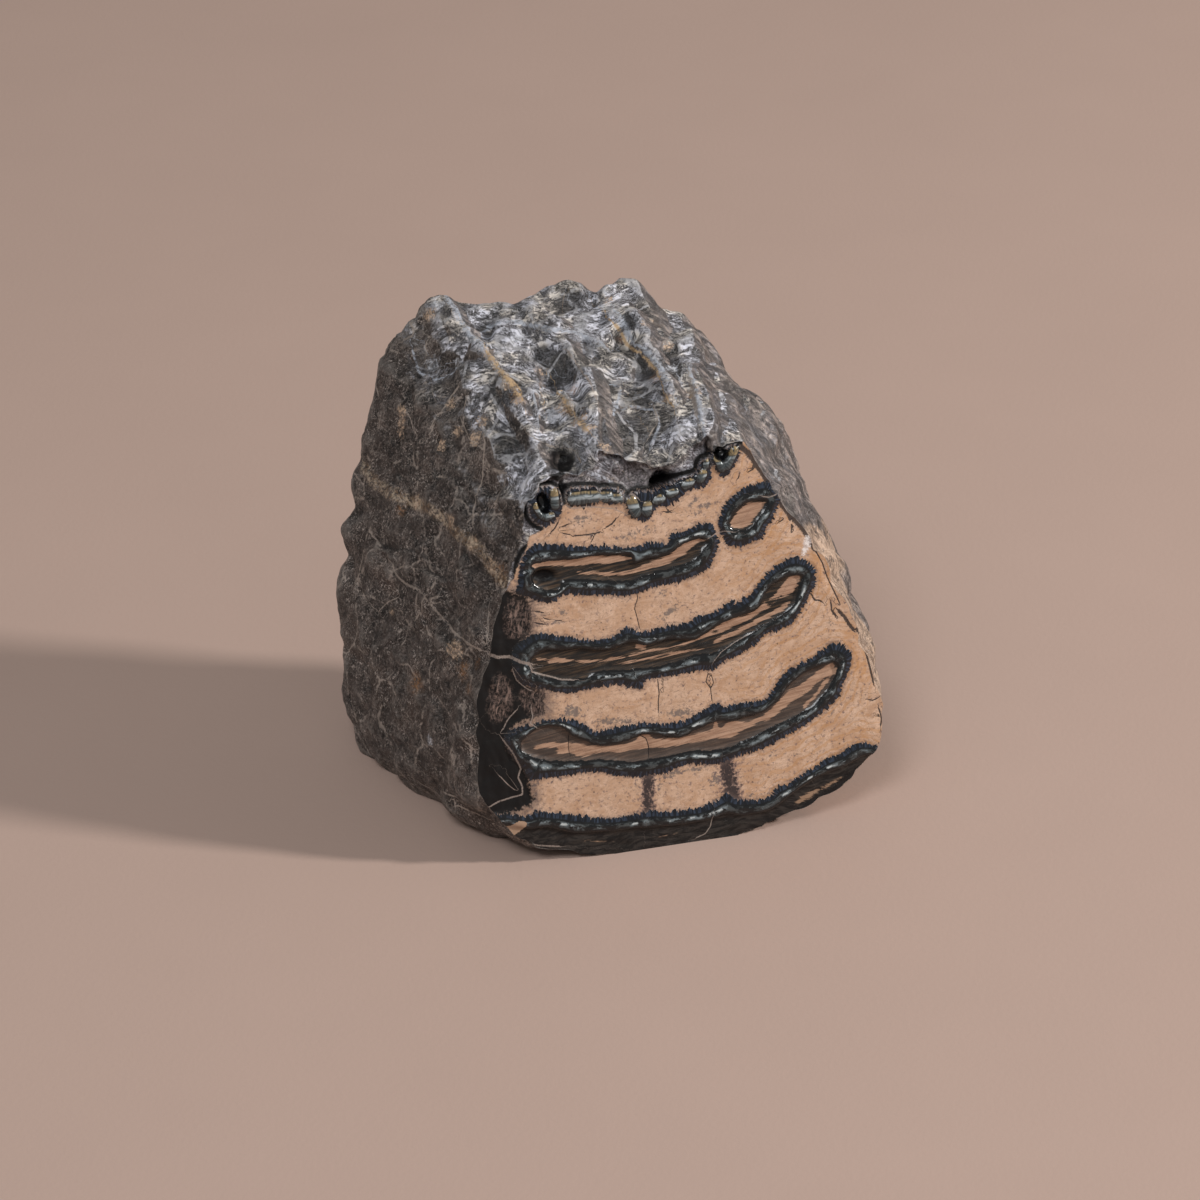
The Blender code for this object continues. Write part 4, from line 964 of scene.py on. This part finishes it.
class Nodes:
    """Short calls that add shader nodes to a material and join them up."""

    def __init__(self, name):
        self.material = bpy.data.materials.new(name)
        self.material.use_nodes = True
        self.tree = self.material.node_tree
        self.shader = self.tree.nodes["Principled BSDF"]
        self.place = self.vector("SCALE", self.node("TexCoord", "Object"), scale=1.0 / MM)

    def put(self, socket, value):
        if isinstance(value, Value):
            self.tree.links.new(value.socket, socket)
        else:
            socket.default_value = value

    def node(self, kind, output, inputs=None, **settings):
        """Adds a node with its settings and inputs. Returns one of its outputs."""
        made = self.tree.nodes.new("ShaderNode" + kind)
        for name, value in settings.items():
            setattr(made, name, value)
        for socket, value in (inputs or {}).items():
            self.put(made.inputs[socket], value)
        return Value(self, made.outputs[output])

    def vector(self, operation, a, b=(0.0, 0.0, 0.0), scale=1.0):
        return self.node("VectorMath", "Vector", {0: a, 1: b, 3: scale}, operation=operation)

    def math(self, operation, a, b=0.0):
        return self.node("Math", "Value", {0: a, 1: b}, operation=operation)

    def larger(self, a, b):
        return self.math("MAXIMUM", a, b)

    def attribute(self, name):
        return self.node("Attribute", "Fac", attribute_name=name)

    def combine(self, x, y, z=0.0):
        return self.node("CombineXYZ", "Vector", {0: x, 1: y, 2: z})

    def noise(self, where, scale, detail=3.0, rough=0.6, warp=0.0):
        inputs = {"Vector": where, "Scale": scale, "Detail": detail, "Roughness": rough, "Distortion": warp}
        return self.node("TexNoise", "Fac", inputs)

    def cells(self, where, scale, feature="F1"):
        return self.node("TexVoronoi", "Distance", {"Vector": where, "Scale": scale}, feature=feature)

    def step(self, value, low, high):
        """0 below low and 1 above high, or the other way round if low is the larger."""
        ends = (0.0, 1.0) if low < high else (1.0, 0.0)
        inputs = {"Value": value, "From Min": min(low, high), "From Max": max(low, high)}
        inputs.update({"To Min": ends[0], "To Max": ends[1]})
        return self.node("MapRange", "Result", inputs, interpolation_type="SMOOTHSTEP")

    def worn(self, name, rough, amount, low, high):
        """A mask's step, its edge made ragged by a noise."""
        return self.step(self.attribute(name) + amount * (rough - 0.5), low, high)

    def mix(self, share, a, b):
        """A colour between a and b."""
        inputs = {"Factor": share, 6: self.colour(a), 7: self.colour(b)}
        return self.node("Mix", 2, inputs, data_type="RGBA")

    def blend(self, share, a, b):
        """A number between a and b."""
        return self.node("Mix", 0, {"Factor": share, 2: a, 3: b})

    def colour(self, value):
        return (*value, 1.0) if isinstance(value, tuple) else value

    def ridged(self, where, scale, width, detail=2.0, warp=0.6):
        """Thin lines where noise crosses its middle: 1 on a line."""
        return self.step(abs(self.noise(where, scale, detail, 0.55, warp) - 0.5), width, 0.0)

    def warp(self, where, scale, amount):
        """The place, shifted about by noise."""
        cloud = self.node("TexNoise", "Color", {"Vector": where, "Scale": scale})
        shift = self.vector("SCALE", self.vector("SUBTRACT", cloud, (0.5, 0.5, 0.5)), scale=amount)
        return self.vector("ADD", where, shift)

    def finish(self, colour, rough, bump, strength, coat=0.0, specular=0.22):
        height = {"Height": bump, "Strength": strength, "Distance": BUMP_HEIGHT * MM}
        self.put(self.shader.inputs["Normal"], self.node("Bump", "Normal", height))
        self.put(self.shader.inputs["Base Color"], colour)
        self.put(self.shader.inputs["Roughness"], rough)
        self.put(self.shader.inputs["Coat Weight"], coat)
        self.shader.inputs["Coat Roughness"].default_value = 0.1
        self.shader.inputs["Specular IOR Level"].default_value = specular
        return self.material


def dark_rock(n, middle, fine, dust, crest_highlight, fibres):
    """Dark brown rock with pale fibres, arcs, dust and cell borders, and a painted highlight on its crests.
    """
    p = n.place
    colour = n.mix(n.step(middle, 0.42, 0.56), (0.007, 0.0056, 0.0053), (0.044, 0.034, 0.03))
    colour = n.mix(0.5 * n.step(n.noise(p, 0.12, 4.0), 0.45, 0.65), colour, (0.085, 0.062, 0.052))
    colour = n.mix(0.6 * fibres, colour, (0.36, 0.3, 0.265))
    arcs = n.ridged(n.warp(p, 0.06, 8.0), 0.11, 0.007, 3.0, 1.0)
    arcs = n.larger(arcs, n.ridged(n.warp(p, 0.1, 6.0), 0.22, 0.008))
    colour = n.mix(arcs * (0.6 * n.step(fine, 0.42, 0.55)), colour, (0.42, 0.36, 0.32))
    dusty = n.step(n.noise(p, 0.28, 5.0, 0.75), 0.46, 0.6)
    colour = n.mix(n.step(dust, 0.555, 0.585) * n.blend(dusty, 0.2, 0.95), colour, (0.56, 0.48, 0.43))
    bent = n.warp(n.warp(p, 0.12, 6.0), 0.6, 1.4)
    borders = n.step(n.cells(bent, 0.085, "DISTANCE_TO_EDGE"), 0.03, 0.006)
    borders = borders * n.step(n.noise(p, 0.35, 5.0, 0.75), 0.45, 0.56)
    colour = n.mix(0.75 * borders, colour, (0.44, 0.37, 0.32))
    # painted highlight on the crests
    return n.mix(0.4 * crest_highlight, colour, (0.3, 0.265, 0.24))


def strand_light(n, smooth, crest_highlight, fine):
    """Where the top's whitish strands are, with the crests' painted highlight added, and the streaks and
    patches that they are made of.
    """
    flow = n.warp(n.warp(n.place, 0.06, 22.0), 0.2, 4.0)
    strands = n.vector("MULTIPLY", flow, (0.35, 1.0, 1.0))
    patch = n.step(n.noise(n.place, 0.2, 4.0, 0.7), 0.42, 0.54)
    streaky = n.step(n.noise(strands, 0.85, 5.0, 0.7), 0.485, 0.55)
    web = n.larger(n.ridged(strands, 0.55, 0.025, 3.0, 1.0), n.ridged(flow, 0.6, 0.02, 3.0, 2.0))
    light = n.larger(streaky * n.blend(patch, 0.15, 1.0), web) * n.blend(smooth, 1.0, 0.14)
    # the crests' painted highlight is added to the pale strands
    return n.larger(light, 0.7 * crest_highlight * n.step(fine, 0.4, 0.6)), streaky, patch


def top_rock(n, smooth, light, patch, middle, fine):
    """Grey rock with whitish strands and dark glassy hollows."""
    worn = n.mix(patch, (0.1, 0.094, 0.095), (0.18, 0.17, 0.18))
    colour = n.mix(n.step(fine, 0.42, 0.58), (0.018, 0.017, 0.017), worn)
    glassy = n.mix(n.step(fine, 0.44, 0.6), (0.009, 0.008, 0.008), (0.055, 0.049, 0.048))
    colour = n.mix(0.9 * smooth, colour, glassy)
    pale = n.mix(n.step(n.noise(n.place, 0.16, 2.0), 0.42, 0.6), (0.8, 0.8, 0.88), (0.8, 0.73, 0.66))
    colour = n.mix(light, colour, pale)
    rim = n.step(abs(n.attribute("gap") - 0.2), 0.35, 0.1)
    return n.mix(rim * (0.7 * n.step(middle, 0.4, 0.55)), colour, (0.56, 0.55, 0.57))


def mark_rock(n, base, middle, fine, streaky):
    """The spots, strands, cracks and veins of the outside, over its plain colour, and painted shade in its
    holes.
    """
    p = n.place
    ragged = 2.6 * (n.noise(p, 1.5, 4.0, 0.75) - 0.5)
    patchy = n.step(n.noise(p, 1.4, 3.0, 0.7), 0.46, 0.56)
    for name, colour in (("white", (0.66, 0.67, 0.72)), ("cream", (0.7, 0.5, 0.35))):
        spot = n.step(n.attribute(name) + 0.9 * ragged, 0.45, 0.9)
        base = n.mix(spot * n.blend(patchy, 0.2, 0.9), base, colour)
    base = n.mix(0.8 * (n.attribute("rust") * n.step(fine, 0.4, 0.6)), base, (0.34, 0.16, 0.06))
    for name, colour in (("blue", (0.5, 0.53, 0.6)), ("gold", (0.62, 0.42, 0.23))):
        strand = n.step(abs(n.attribute(name)) + 0.9 * ragged, 1.2, 0.4)
        base = n.mix(strand * n.blend(n.larger(streaky, patchy), 0.15, 0.9), base, colour)
    base = n.mix(n.step(abs(n.attribute("black")) + ragged, 1.3, 0.7), base, (0.005, 0.004, 0.004))
    vein = n.step(abs(n.attribute("vein")) + ragged, 1.1, 0.5)
    vein = vein * n.step(n.noise(p, 0.45, 3.0, 0.7), 0.3, 0.5)
    base = n.mix(0.8 * vein, base, (0.42, 0.35, 0.3))
    tan_vein = n.step(abs(n.attribute("tanvein")) + 0.9 * ragged, 1.7, 0.7)
    tan_vein = tan_vein * n.blend(n.step(fine, 0.46, 0.54), 0.08, 1.0)
    ochre = n.mix(n.step(middle, 0.44, 0.56), (0.2, 0.125, 0.07), (0.58, 0.46, 0.34))
    base = n.mix(0.85 * tan_vein, base, ochre)
    # painted shade: the holes are coloured almost black
    hole = n.step(n.attribute("hole") + 0.15 * ragged, 0.15, 0.5)
    return n.mix(0.97 * hole, base, (0.005, 0.004, 0.004))


def rock_colour(n, top):
    """Broken, mineralised tooth: dark with pale veins, whitish strands where top is 1, painted highlights
    on crests and painted shade in hollows.
    """
    p = n.place
    middle = n.noise(p, 0.5, 6.0, 0.7)
    fine = n.noise(p, 1.6, 5.0, 0.8)
    dust = n.noise(p, 2.1, 4.0, 0.85)
    ridge, smooth = n.attribute("ridge"), n.attribute("smooth")
    # painted highlight: lighter where the surface stands above its surroundings
    crest_highlight = n.step(ridge + 0.3 * (fine - 0.5), 0.12, 0.3)
    upright = n.vector("MULTIPLY", n.warp(p, 0.15, 5.0), (1.6, 1.6, 0.6))
    fibres = n.larger(n.ridged(upright, 0.5, 0.03, 4.0, 0.8), 0.7 * n.ridged(upright, 1.1, 0.04, 3.0))
    fibres = fibres * n.step(n.noise(p, 0.3, 4.0, 0.7), 0.46, 0.58)
    light, streaky, patch = strand_light(n, smooth, crest_highlight, fine)
    grey = top_rock(n, smooth, light, patch, middle, fine)
    dark = dark_rock(n, middle, fine, dust, crest_highlight, fibres)
    base = n.mix(n.step(top + 0.9 * (middle - 0.5), 0.3, 0.7), dark, grey)
    # painted shade: darker where the surface sits below its surroundings, in hollows and creases
    base = n.mix(0.7 * n.step(ridge, -0.1, -0.45), base, (0.014, 0.012, 0.012))
    base = mark_rock(n, base, middle, fine, streaky)
    rough = n.blend(smooth, n.blend(n.step(fine, 0.42, 0.58), 0.3, 0.56), 0.26)
    bump = 0.6 * fine + (0.4 * dust + 0.5 * light)
    return base, rough, bump, fibres, middle


def outside_material():
    """The broken outside, with weathered cement along its right edge."""
    n = Nodes("broken tooth")
    base, rough, bump, fibres, middle = rock_colour(n, n.attribute("top"))
    along = n.combine(0.22 * n.attribute("run"), 0.75 * n.attribute("behind"), 5.0)
    layers = n.noise(n.warp(along, 0.1, 2.0), 0.8, 6.0, 0.82)
    shell = n.mix(n.step(layers, 0.43, 0.55), (0.055, 0.046, 0.044), (0.3, 0.25, 0.235))
    shell = n.mix(0.85 * n.step(layers, 0.53, 0.61), shell, (0.62, 0.51, 0.44))
    shell = n.mix(0.75 * n.step(middle, 0.5, 0.6), shell, (0.045, 0.039, 0.038))
    shade = n.step(n.noise(n.place, 0.07, 5.0, 0.7), 0.46, 0.58)
    shell = n.mix(0.6 * shade, shell, (0.05, 0.043, 0.041))
    shell = n.mix(0.5 * fibres, shell, (0.05, 0.044, 0.042))
    cement = n.mix(n.step(layers, 0.4, 0.54), (0.24, 0.165, 0.12), (0.62, 0.45, 0.335))
    cement = n.mix(0.75 * n.step(middle, 0.55, 0.6), cement, (0.08, 0.065, 0.06))
    base = n.mix(0.85 * n.worn("right", middle, 0.6, 0.3, 0.6), base, shell)
    base = n.mix(n.worn("edge", middle, 0.5, 0.25, 0.55), base, cement)
    return n.finish(base, rough, bump, 1.0, specular=0.5)


def cement_colour(n, where, outer, cloud):
    """Tan cement with fine grain across, contour lines round the bands' ends, and small dark specks."""
    u, v = n.attribute("u"), n.attribute("v")
    bent = n.warp(where, 0.06, 9.0)
    grain = n.noise(n.vector("MULTIPLY", bent, (0.3, 1.4, 1.0)), 1.0, 6.0, 0.7, 0.6)
    blotches = n.noise(bent, 0.3, 5.0, 0.75)
    crumbs = n.noise(where, 1.5, 5.0, 0.85)
    colour = n.mix(n.step(cloud, 0.35, 0.65), (0.52, 0.325, 0.21), (0.61, 0.415, 0.295))
    colour = n.mix(0.28 * n.step(grain, 0.5, 0.64), colour, (0.36, 0.2, 0.12))
    colour = n.mix(0.25 * n.step(grain, 0.5, 0.38), colour, (0.7, 0.49, 0.36))
    colour = n.mix(0.5 * n.step(blotches, 0.52, 0.64), colour, (0.43, 0.24, 0.135))
    colour = n.mix(0.45 * n.step(blotches, 0.47, 0.38), colour, (0.74, 0.52, 0.385))
    colour = n.mix(0.6 * n.worn("warm", grain, 1.6, 0.25, 0.8), colour, (0.5, 0.255, 0.11))
    colour = n.mix(0.3 * n.step(crumbs, 0.52, 0.64), colour, (0.33, 0.2, 0.13))
    colour = n.mix(0.3 * n.step(crumbs, 0.46, 0.36), colour, (0.76, 0.55, 0.41))
    scratch = n.ridged(n.combine(0.9 * u, 2.2 * v), 0.4, 0.02, 4.0, 1.5) * n.step(cloud, 0.44, 0.54)
    colour = n.mix(0.65 * scratch, colour, (0.27, 0.155, 0.1))
    lines = n.noise(n.combine(outer + 3.0 * n.noise(where, 0.25, 3.0), 3.0), 1.0, 4.0, 0.7)
    near = n.step(u, 14.0, 40.0) * n.step(outer, -10.0, -1.5)
    colour = n.mix(0.75 * (n.step(lines, 0.5, 0.58) * near), colour, (0.47, 0.24, 0.1))
    specks = n.step(n.cells(where, 0.7), 0.16, 0.1) * n.step(n.noise(where, 0.3, 2.0), 0.54, 0.62)
    return n.mix(0.75 * specks, colour, (0.05, 0.04, 0.035)), grain


def stained(n, colour, where, outer, cloud, mottled):
    """The cement's grey and purple stains, the dirt along the bands and the strip, and its pores."""
    colour = n.mix(0.8 * n.worn("grey", mottled, 3.4, 0.35, 0.75), colour, (0.15, 0.13, 0.12))
    colour = n.mix(0.75 * n.worn("purple", mottled, 3.4, 0.1, 0.5), colour, (0.2, 0.135, 0.125))
    colour = n.mix(0.92 * n.worn("purple", mottled, 3.4, 0.45, 0.8), colour, (0.03, 0.024, 0.026))
    dirt = n.step(outer + 3.4 * (mottled - 0.5), -1.1, 0.3)
    colour = n.mix(0.6 * dirt, colour, (0.15, 0.105, 0.09))
    colour = n.mix(0.75 * n.worn("strip", mottled, 7.0, -3.2, 0.2), colour, (0.13, 0.095, 0.085))
    pores = n.step(n.noise(where, 1.9, 3.0, 0.7), 0.66, 0.72) * n.step(cloud, 0.4, 0.6)
    return n.mix(0.5 * pores, colour, (0.2, 0.125, 0.085))


def enamel_colour(n, outer, inner, along):
    """Enamel across its band: navy teeth, a dark glossy tube with painted pale highlights along it, and a
    black inner line.
    """
    share = outer / n.larger(outer - inner, 0.2)
    bars = n.noise(n.combine(1.6 * along, 0.8 * share, 2.0), 1.0, 3.0, 0.65)
    patches = n.noise(n.combine(0.25 * along, share, 7.0), 1.0, 4.0, 0.7)
    swirl = n.noise(n.combine(0.45 * along, 2.4 * share, 11.0), 1.0, 4.0, 0.7)
    navy = n.mix(n.step(bars, 0.46, 0.6), (0.007, 0.008, 0.012), (0.03, 0.041, 0.064))
    tube = n.mix(n.step(swirl, 0.44, 0.58), (0.008, 0.009, 0.01), (0.06, 0.068, 0.07))
    colour = n.mix(n.step(share, 0.28, 0.42), navy, tube)
    # painted highlights along the tube: pale beads, then brighter glints
    bead_highlight = n.step(share, 0.42, 0.6) * n.step(share, 0.82, 0.66)
    bead_highlight = bead_highlight * n.step(patches + 0.8 * (swirl - 0.5), 0.5, 0.6)
    colour = n.mix(0.85 * bead_highlight, colour, (0.2, 0.24, 0.26))
    glint = n.step(share, 0.5, 0.6) * n.step(share, 0.74, 0.64) * n.step(patches, 0.56, 0.62)
    colour = n.mix(0.85 * glint, colour, (0.58, 0.62, 0.62))
    colour = n.mix(0.85 * n.step(abs(share - 0.38), 0.1, 0.03), colour, (0.006, 0.006, 0.007))
    colour = n.mix(n.step(share, 0.84, 0.93), colour, (0.005, 0.005, 0.005))
    barrel, side = n.attribute("barrel"), n.attribute("side")
    colour = n.mix(n.step(barrel, 0.02, 0.2), colour, (0.008, 0.008, 0.009))
    tube = n.mix(n.step(bars, 0.4, 0.65), (0.03, 0.035, 0.037), (0.1, 0.12, 0.125))
    # painted highlight along each barrel's middle
    shine = n.step(abs(side - 0.08), 0.42, 0.1) * n.step(patches, 0.36, 0.55)
    tube = n.mix(0.85 * shine, tube, (0.42, 0.47, 0.49))
    tube = n.mix(n.step(side, 0.35, 0.75) * n.step(bars, 0.38, 0.55), tube, (0.3, 0.22, 0.11))
    return n.mix(n.step(barrel, 0.35, 0.62), colour, tube)


def dentine_colour(n, grain):
    """Dark layered dentine with tan and pinkish streaks, and darker still below the lowest band."""
    u, v = n.attribute("u"), n.attribute("v")
    layers = n.noise(n.combine(0.16 * u, 2.3 * (v - 0.12 * u)), 1.0, 5.0, 0.65, 0.3)
    low = n.step(v, 34.0, 30.0)
    dark = n.mix(low, (0.018, 0.016, 0.015), (0.06, 0.045, 0.038))
    brown = n.mix(low, (0.085, 0.055, 0.035), (0.125, 0.085, 0.065))
    colour = n.mix(n.step(layers, 0.42, 0.68), dark, brown)
    streak = n.mix(n.step(layers, 0.35, 0.65), (0.3, 0.175, 0.115), (0.46, 0.29, 0.2))
    colour = n.mix(n.worn("tan", layers, 1.5, -0.08, 0.12), colour, streak)
    below = n.mix(n.step(grain, 0.4, 0.62), (0.012, 0.01, 0.0095), (0.038, 0.031, 0.027))
    below = n.mix(n.worn("tan", grain, 3.0, 0.1, 0.5), below, (0.3, 0.19, 0.125))
    return n.mix(n.step(n.attribute("low"), -0.1, 0.1), colour, below)


def banded(n, colour, outer, inner, along, enamel_in, crack, grain, fine):
    """The enamel bands and the dentine inside them, over the cement."""
    colour = n.mix(enamel_in, colour, enamel_colour(n, outer, inner, along))
    shade = n.step(n.attribute("strip"), -2.6, 0.4) * enamel_in * n.step(fine, 0.3, 0.55)
    colour = n.mix(0.8 * shade, colour, (0.009, 0.009, 0.01))
    rim_line = n.step(abs(inner + 0.25), 0.32, 0.1)
    colour = n.mix(0.9 * (rim_line * enamel_in), colour, (0.006, 0.006, 0.007))
    dentine_in = n.step(inner + 0.35 * (fine - 0.5), -0.05, 0.05)
    dentine = n.mix(0.85 * crack, dentine_colour(n, grain), (0.012, 0.01, 0.01))
    return n.mix(dentine_in * enamel_in, colour, dentine)


def stripped(n, colour, outer, mottled):
    """The black strip along the left, with its pinkish patches."""
    u, v = n.attribute("u"), n.attribute("v")
    strip = n.worn("strip", mottled, 4.5, -0.3, 0.4) * n.step(outer, 0.15, -0.15)
    streaks = n.noise(n.combine(1.9 * (u - 0.22 * v), 0.5 * v), 1.0, 6.0, 0.75, 1.2)
    pink = n.worn("pink", mottled, 2.4, -0.4, 1.0)
    black = n.mix(pink * n.step(streaks, 0.5, 0.62), (0.0085, 0.0075, 0.0075), (0.21, 0.145, 0.12))
    colour = n.mix(strip, colour, black)
    haze = pink * n.step(outer, 0.2, -0.2) * n.step(mottled, 0.45, 0.62)
    return n.mix(0.5 * haze, colour, (0.2, 0.14, 0.12))


def mark_ground(n, colour, where, fine, mottled):
    """The tan patch, the pale lines and the white chip of the ground face, and painted shade in its pits.
    """
    colour = n.mix(n.worn("patch", fine, 0.8, -0.05, 0.1), colour, (0.38, 0.25, 0.17))
    ragged = 2.2 * (n.noise(where, 3.2, 3.0, 0.7) - 0.5)
    pale = n.step(abs(n.attribute("pale")) + ragged, 1.25, 0.75)
    colour = n.mix(0.75 * (pale * n.step(fine, 0.3, 0.5)), colour, (0.33, 0.265, 0.23))
    flake = n.mix(n.step(mottled, 0.42, 0.56), (0.45, 0.37, 0.34), (0.86, 0.8, 0.77))
    colour = n.mix(0.85 * n.worn("chip", fine, 2.4, 0.0, 0.25), colour, flake)
    # painted shade: the pits are coloured almost black
    return n.mix(0.95 * n.step(n.attribute("pit"), 0.15, 0.8), colour, (0.004, 0.004, 0.005))


def face_material():
    """The ground and polished face: cement, enamel and dentine, with its stains and cracks."""
    n = Nodes("ground tooth")
    where = n.combine(n.attribute("u"), n.attribute("v"))
    outer, inner, along = (n.attribute(name) for name in ("outer", "inner", "along"))
    cloud = n.noise(where, 0.16, 3.0)
    fine = n.noise(where, 2.6, 4.0, 0.7)
    mottled = n.noise(where, 1.2, 5.0, 0.75)
    colour, grain = cement_colour(n, where, outer, cloud)
    colour = stained(n, colour, where, outer, cloud, mottled)
    crack = n.step(abs(n.attribute("crack")) + 2.4 * (fine - 0.5), 1.3, 0.7)
    colour = n.mix(0.9 * crack, colour, (0.025, 0.022, 0.024))

    teeth = n.noise(n.combine(1.25 * along, 0.35 * outer, 4.0), 1.0, 2.0, 0.75)
    blunt = n.noise(n.combine(0.22 * along, 9.0), 1.0, 1.0)
    waver = 1.1 * (n.noise(where, 0.35, 2.0) - 0.5)
    reach = outer + ((teeth - 0.47) * n.blend(n.step(blunt, 0.35, 0.65), 1.8, 3.6) + waver)
    enamel_in = n.step(reach, -0.06, 0.06)
    inner = inner + 0.9 * (n.noise(where, 0.5, 2.0) - 0.5)
    colour = banded(n, colour, outer, inner, along, enamel_in, crack, grain, fine)
    colour = stripped(n, colour, outer, mottled)
    colour = mark_ground(n, colour, where, fine, mottled)

    lip = n.worn("lip", mottled, 1.2, -0.1, 0.15) * n.step(reach, 0.1, -0.2)
    rock, rock_rough, rock_bump, *_ = rock_colour(n, 0.8)
    plum = n.mix(n.step(fine, 0.38, 0.62), (0.045, 0.039, 0.041), (0.26, 0.235, 0.25))
    rock = n.mix(n.step(mottled, 0.4, 0.6), rock, plum)
    rock = n.mix(n.step(abs(outer + 0.7), 0.7, 0.2), rock, (0.01, 0.009, 0.009))
    colour = n.mix(lip, colour, rock)

    shiny = enamel_in * n.step(inner, 0.1, -0.1)
    rough = n.blend(shiny, n.blend(n.step(grain, 0.3, 0.7), 0.42, 0.55), 0.2)
    bump = 0.12 * grain + 0.35 * (enamel_in * teeth) + (0.08 * fine - 0.5 * crack)
    coat = 0.6 * (shiny * (1.0 - lip))
    return n.finish(colour, n.blend(lip, rough, rock_rough), n.blend(lip, bump, rock_bump), 0.7, coat)


def make_molar():
    """The whole molar as one closed mesh, in metres."""
    mesh = thin_mesh(make_rough(), OUTSIDE_TRIANGLES)
    bm = bmesh.new()
    bm.from_mesh(mesh)
    bmesh.ops.contextual_create(bm, geom=cut_flat(bm, (0.0, 0.0, 0.0), (0.0, 0.0, -1.0)))
    rim = cut_flat(bm, FOOT, OUT)
    for edge in rim:
        edge.smooth = False
    loops = rim_loops(rim)
    fill_face(bm, loops[0])
    for loop in loops[1:]:
        bm.faces.new(loop)
    bmesh.ops.triangulate(bm, faces=[face for face in bm.faces if len(face.verts) > 3])
    bmesh.ops.recalc_face_normals(bm, faces=bm.faces)
    mesh = bpy.data.meshes.new("molar_fine")
    bm.to_mesh(mesh)
    bm.free()
    mark_outside(mesh)
    mark_face(mesh)
    put_places(mesh, places_of(mesh) * MM)
    mesh.shade_smooth()
    mesh.materials.append(outside_material())
    mesh.materials.append(face_material())
    return add_object("molar_fine", mesh)


def make_floor():
    mesh = bpy.data.meshes.new("floor")
    bm = bmesh.new()
    bmesh.ops.create_grid(bm, x_segments=1, y_segments=1, size=3.0)
    bm.to_mesh(mesh)
    bm.free()
    n = Nodes("pale floor")
    colour = n.mix(n.noise(n.place, 0.02, 4.0), tuple(0.93 * c for c in FLOOR_COLOUR), FLOOR_COLOUR)
    mesh.materials.append(n.finish(colour, 0.8, n.noise(n.place, 0.8, 3.0), 0.15))
    return add_object("floor", mesh)


def aim(thing, place, target):
    thing.location = Vector(place) * MM
    thing.rotation_euler = (Vector(target) - Vector(place)).to_track_quat("-Z", "Y").to_euler()


def add_light(name, place, size, power, colour):
    light = bpy.data.lights.new(name, "AREA")
    light.shape = "DISK"
    light.size = size
    light.energy = power
    light.color = colour
    aim(add_object(name, light), place, (0.0, 0.0, 35.0))


def set_stage():
    make_floor()
    add_light("key", (1400.0, -60.0, 800.0), 0.14, 22.0, (1.0, 0.96, 0.92))
    add_light("fill", (-300.0, -700.0, 1100.0), 0.5, 6.0, (0.96, 0.98, 1.0))
    world = bpy.data.worlds.new("soft studio")
    world.use_nodes = True
    sky = world.node_tree.nodes["Background"].inputs
    sky["Color"].default_value = (1.0, 0.985, 0.97, 1.0)
    sky["Strength"].default_value = 0.30
    bpy.context.scene.world = world
    bpy.context.scene.view_settings.view_transform = "Standard"


def set_camera():
    lens = bpy.data.cameras.new("camera")
    lens.lens = LENS
    lens.sensor_width = 36.0
    camera = add_object("camera", lens)
    aim(camera, SEEN_FROM, LOOKS_AT)
    bpy.context.scene.camera = camera


molar = make_molar()
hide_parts("molar")
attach(molar, "root")
set_stage()
set_camera()
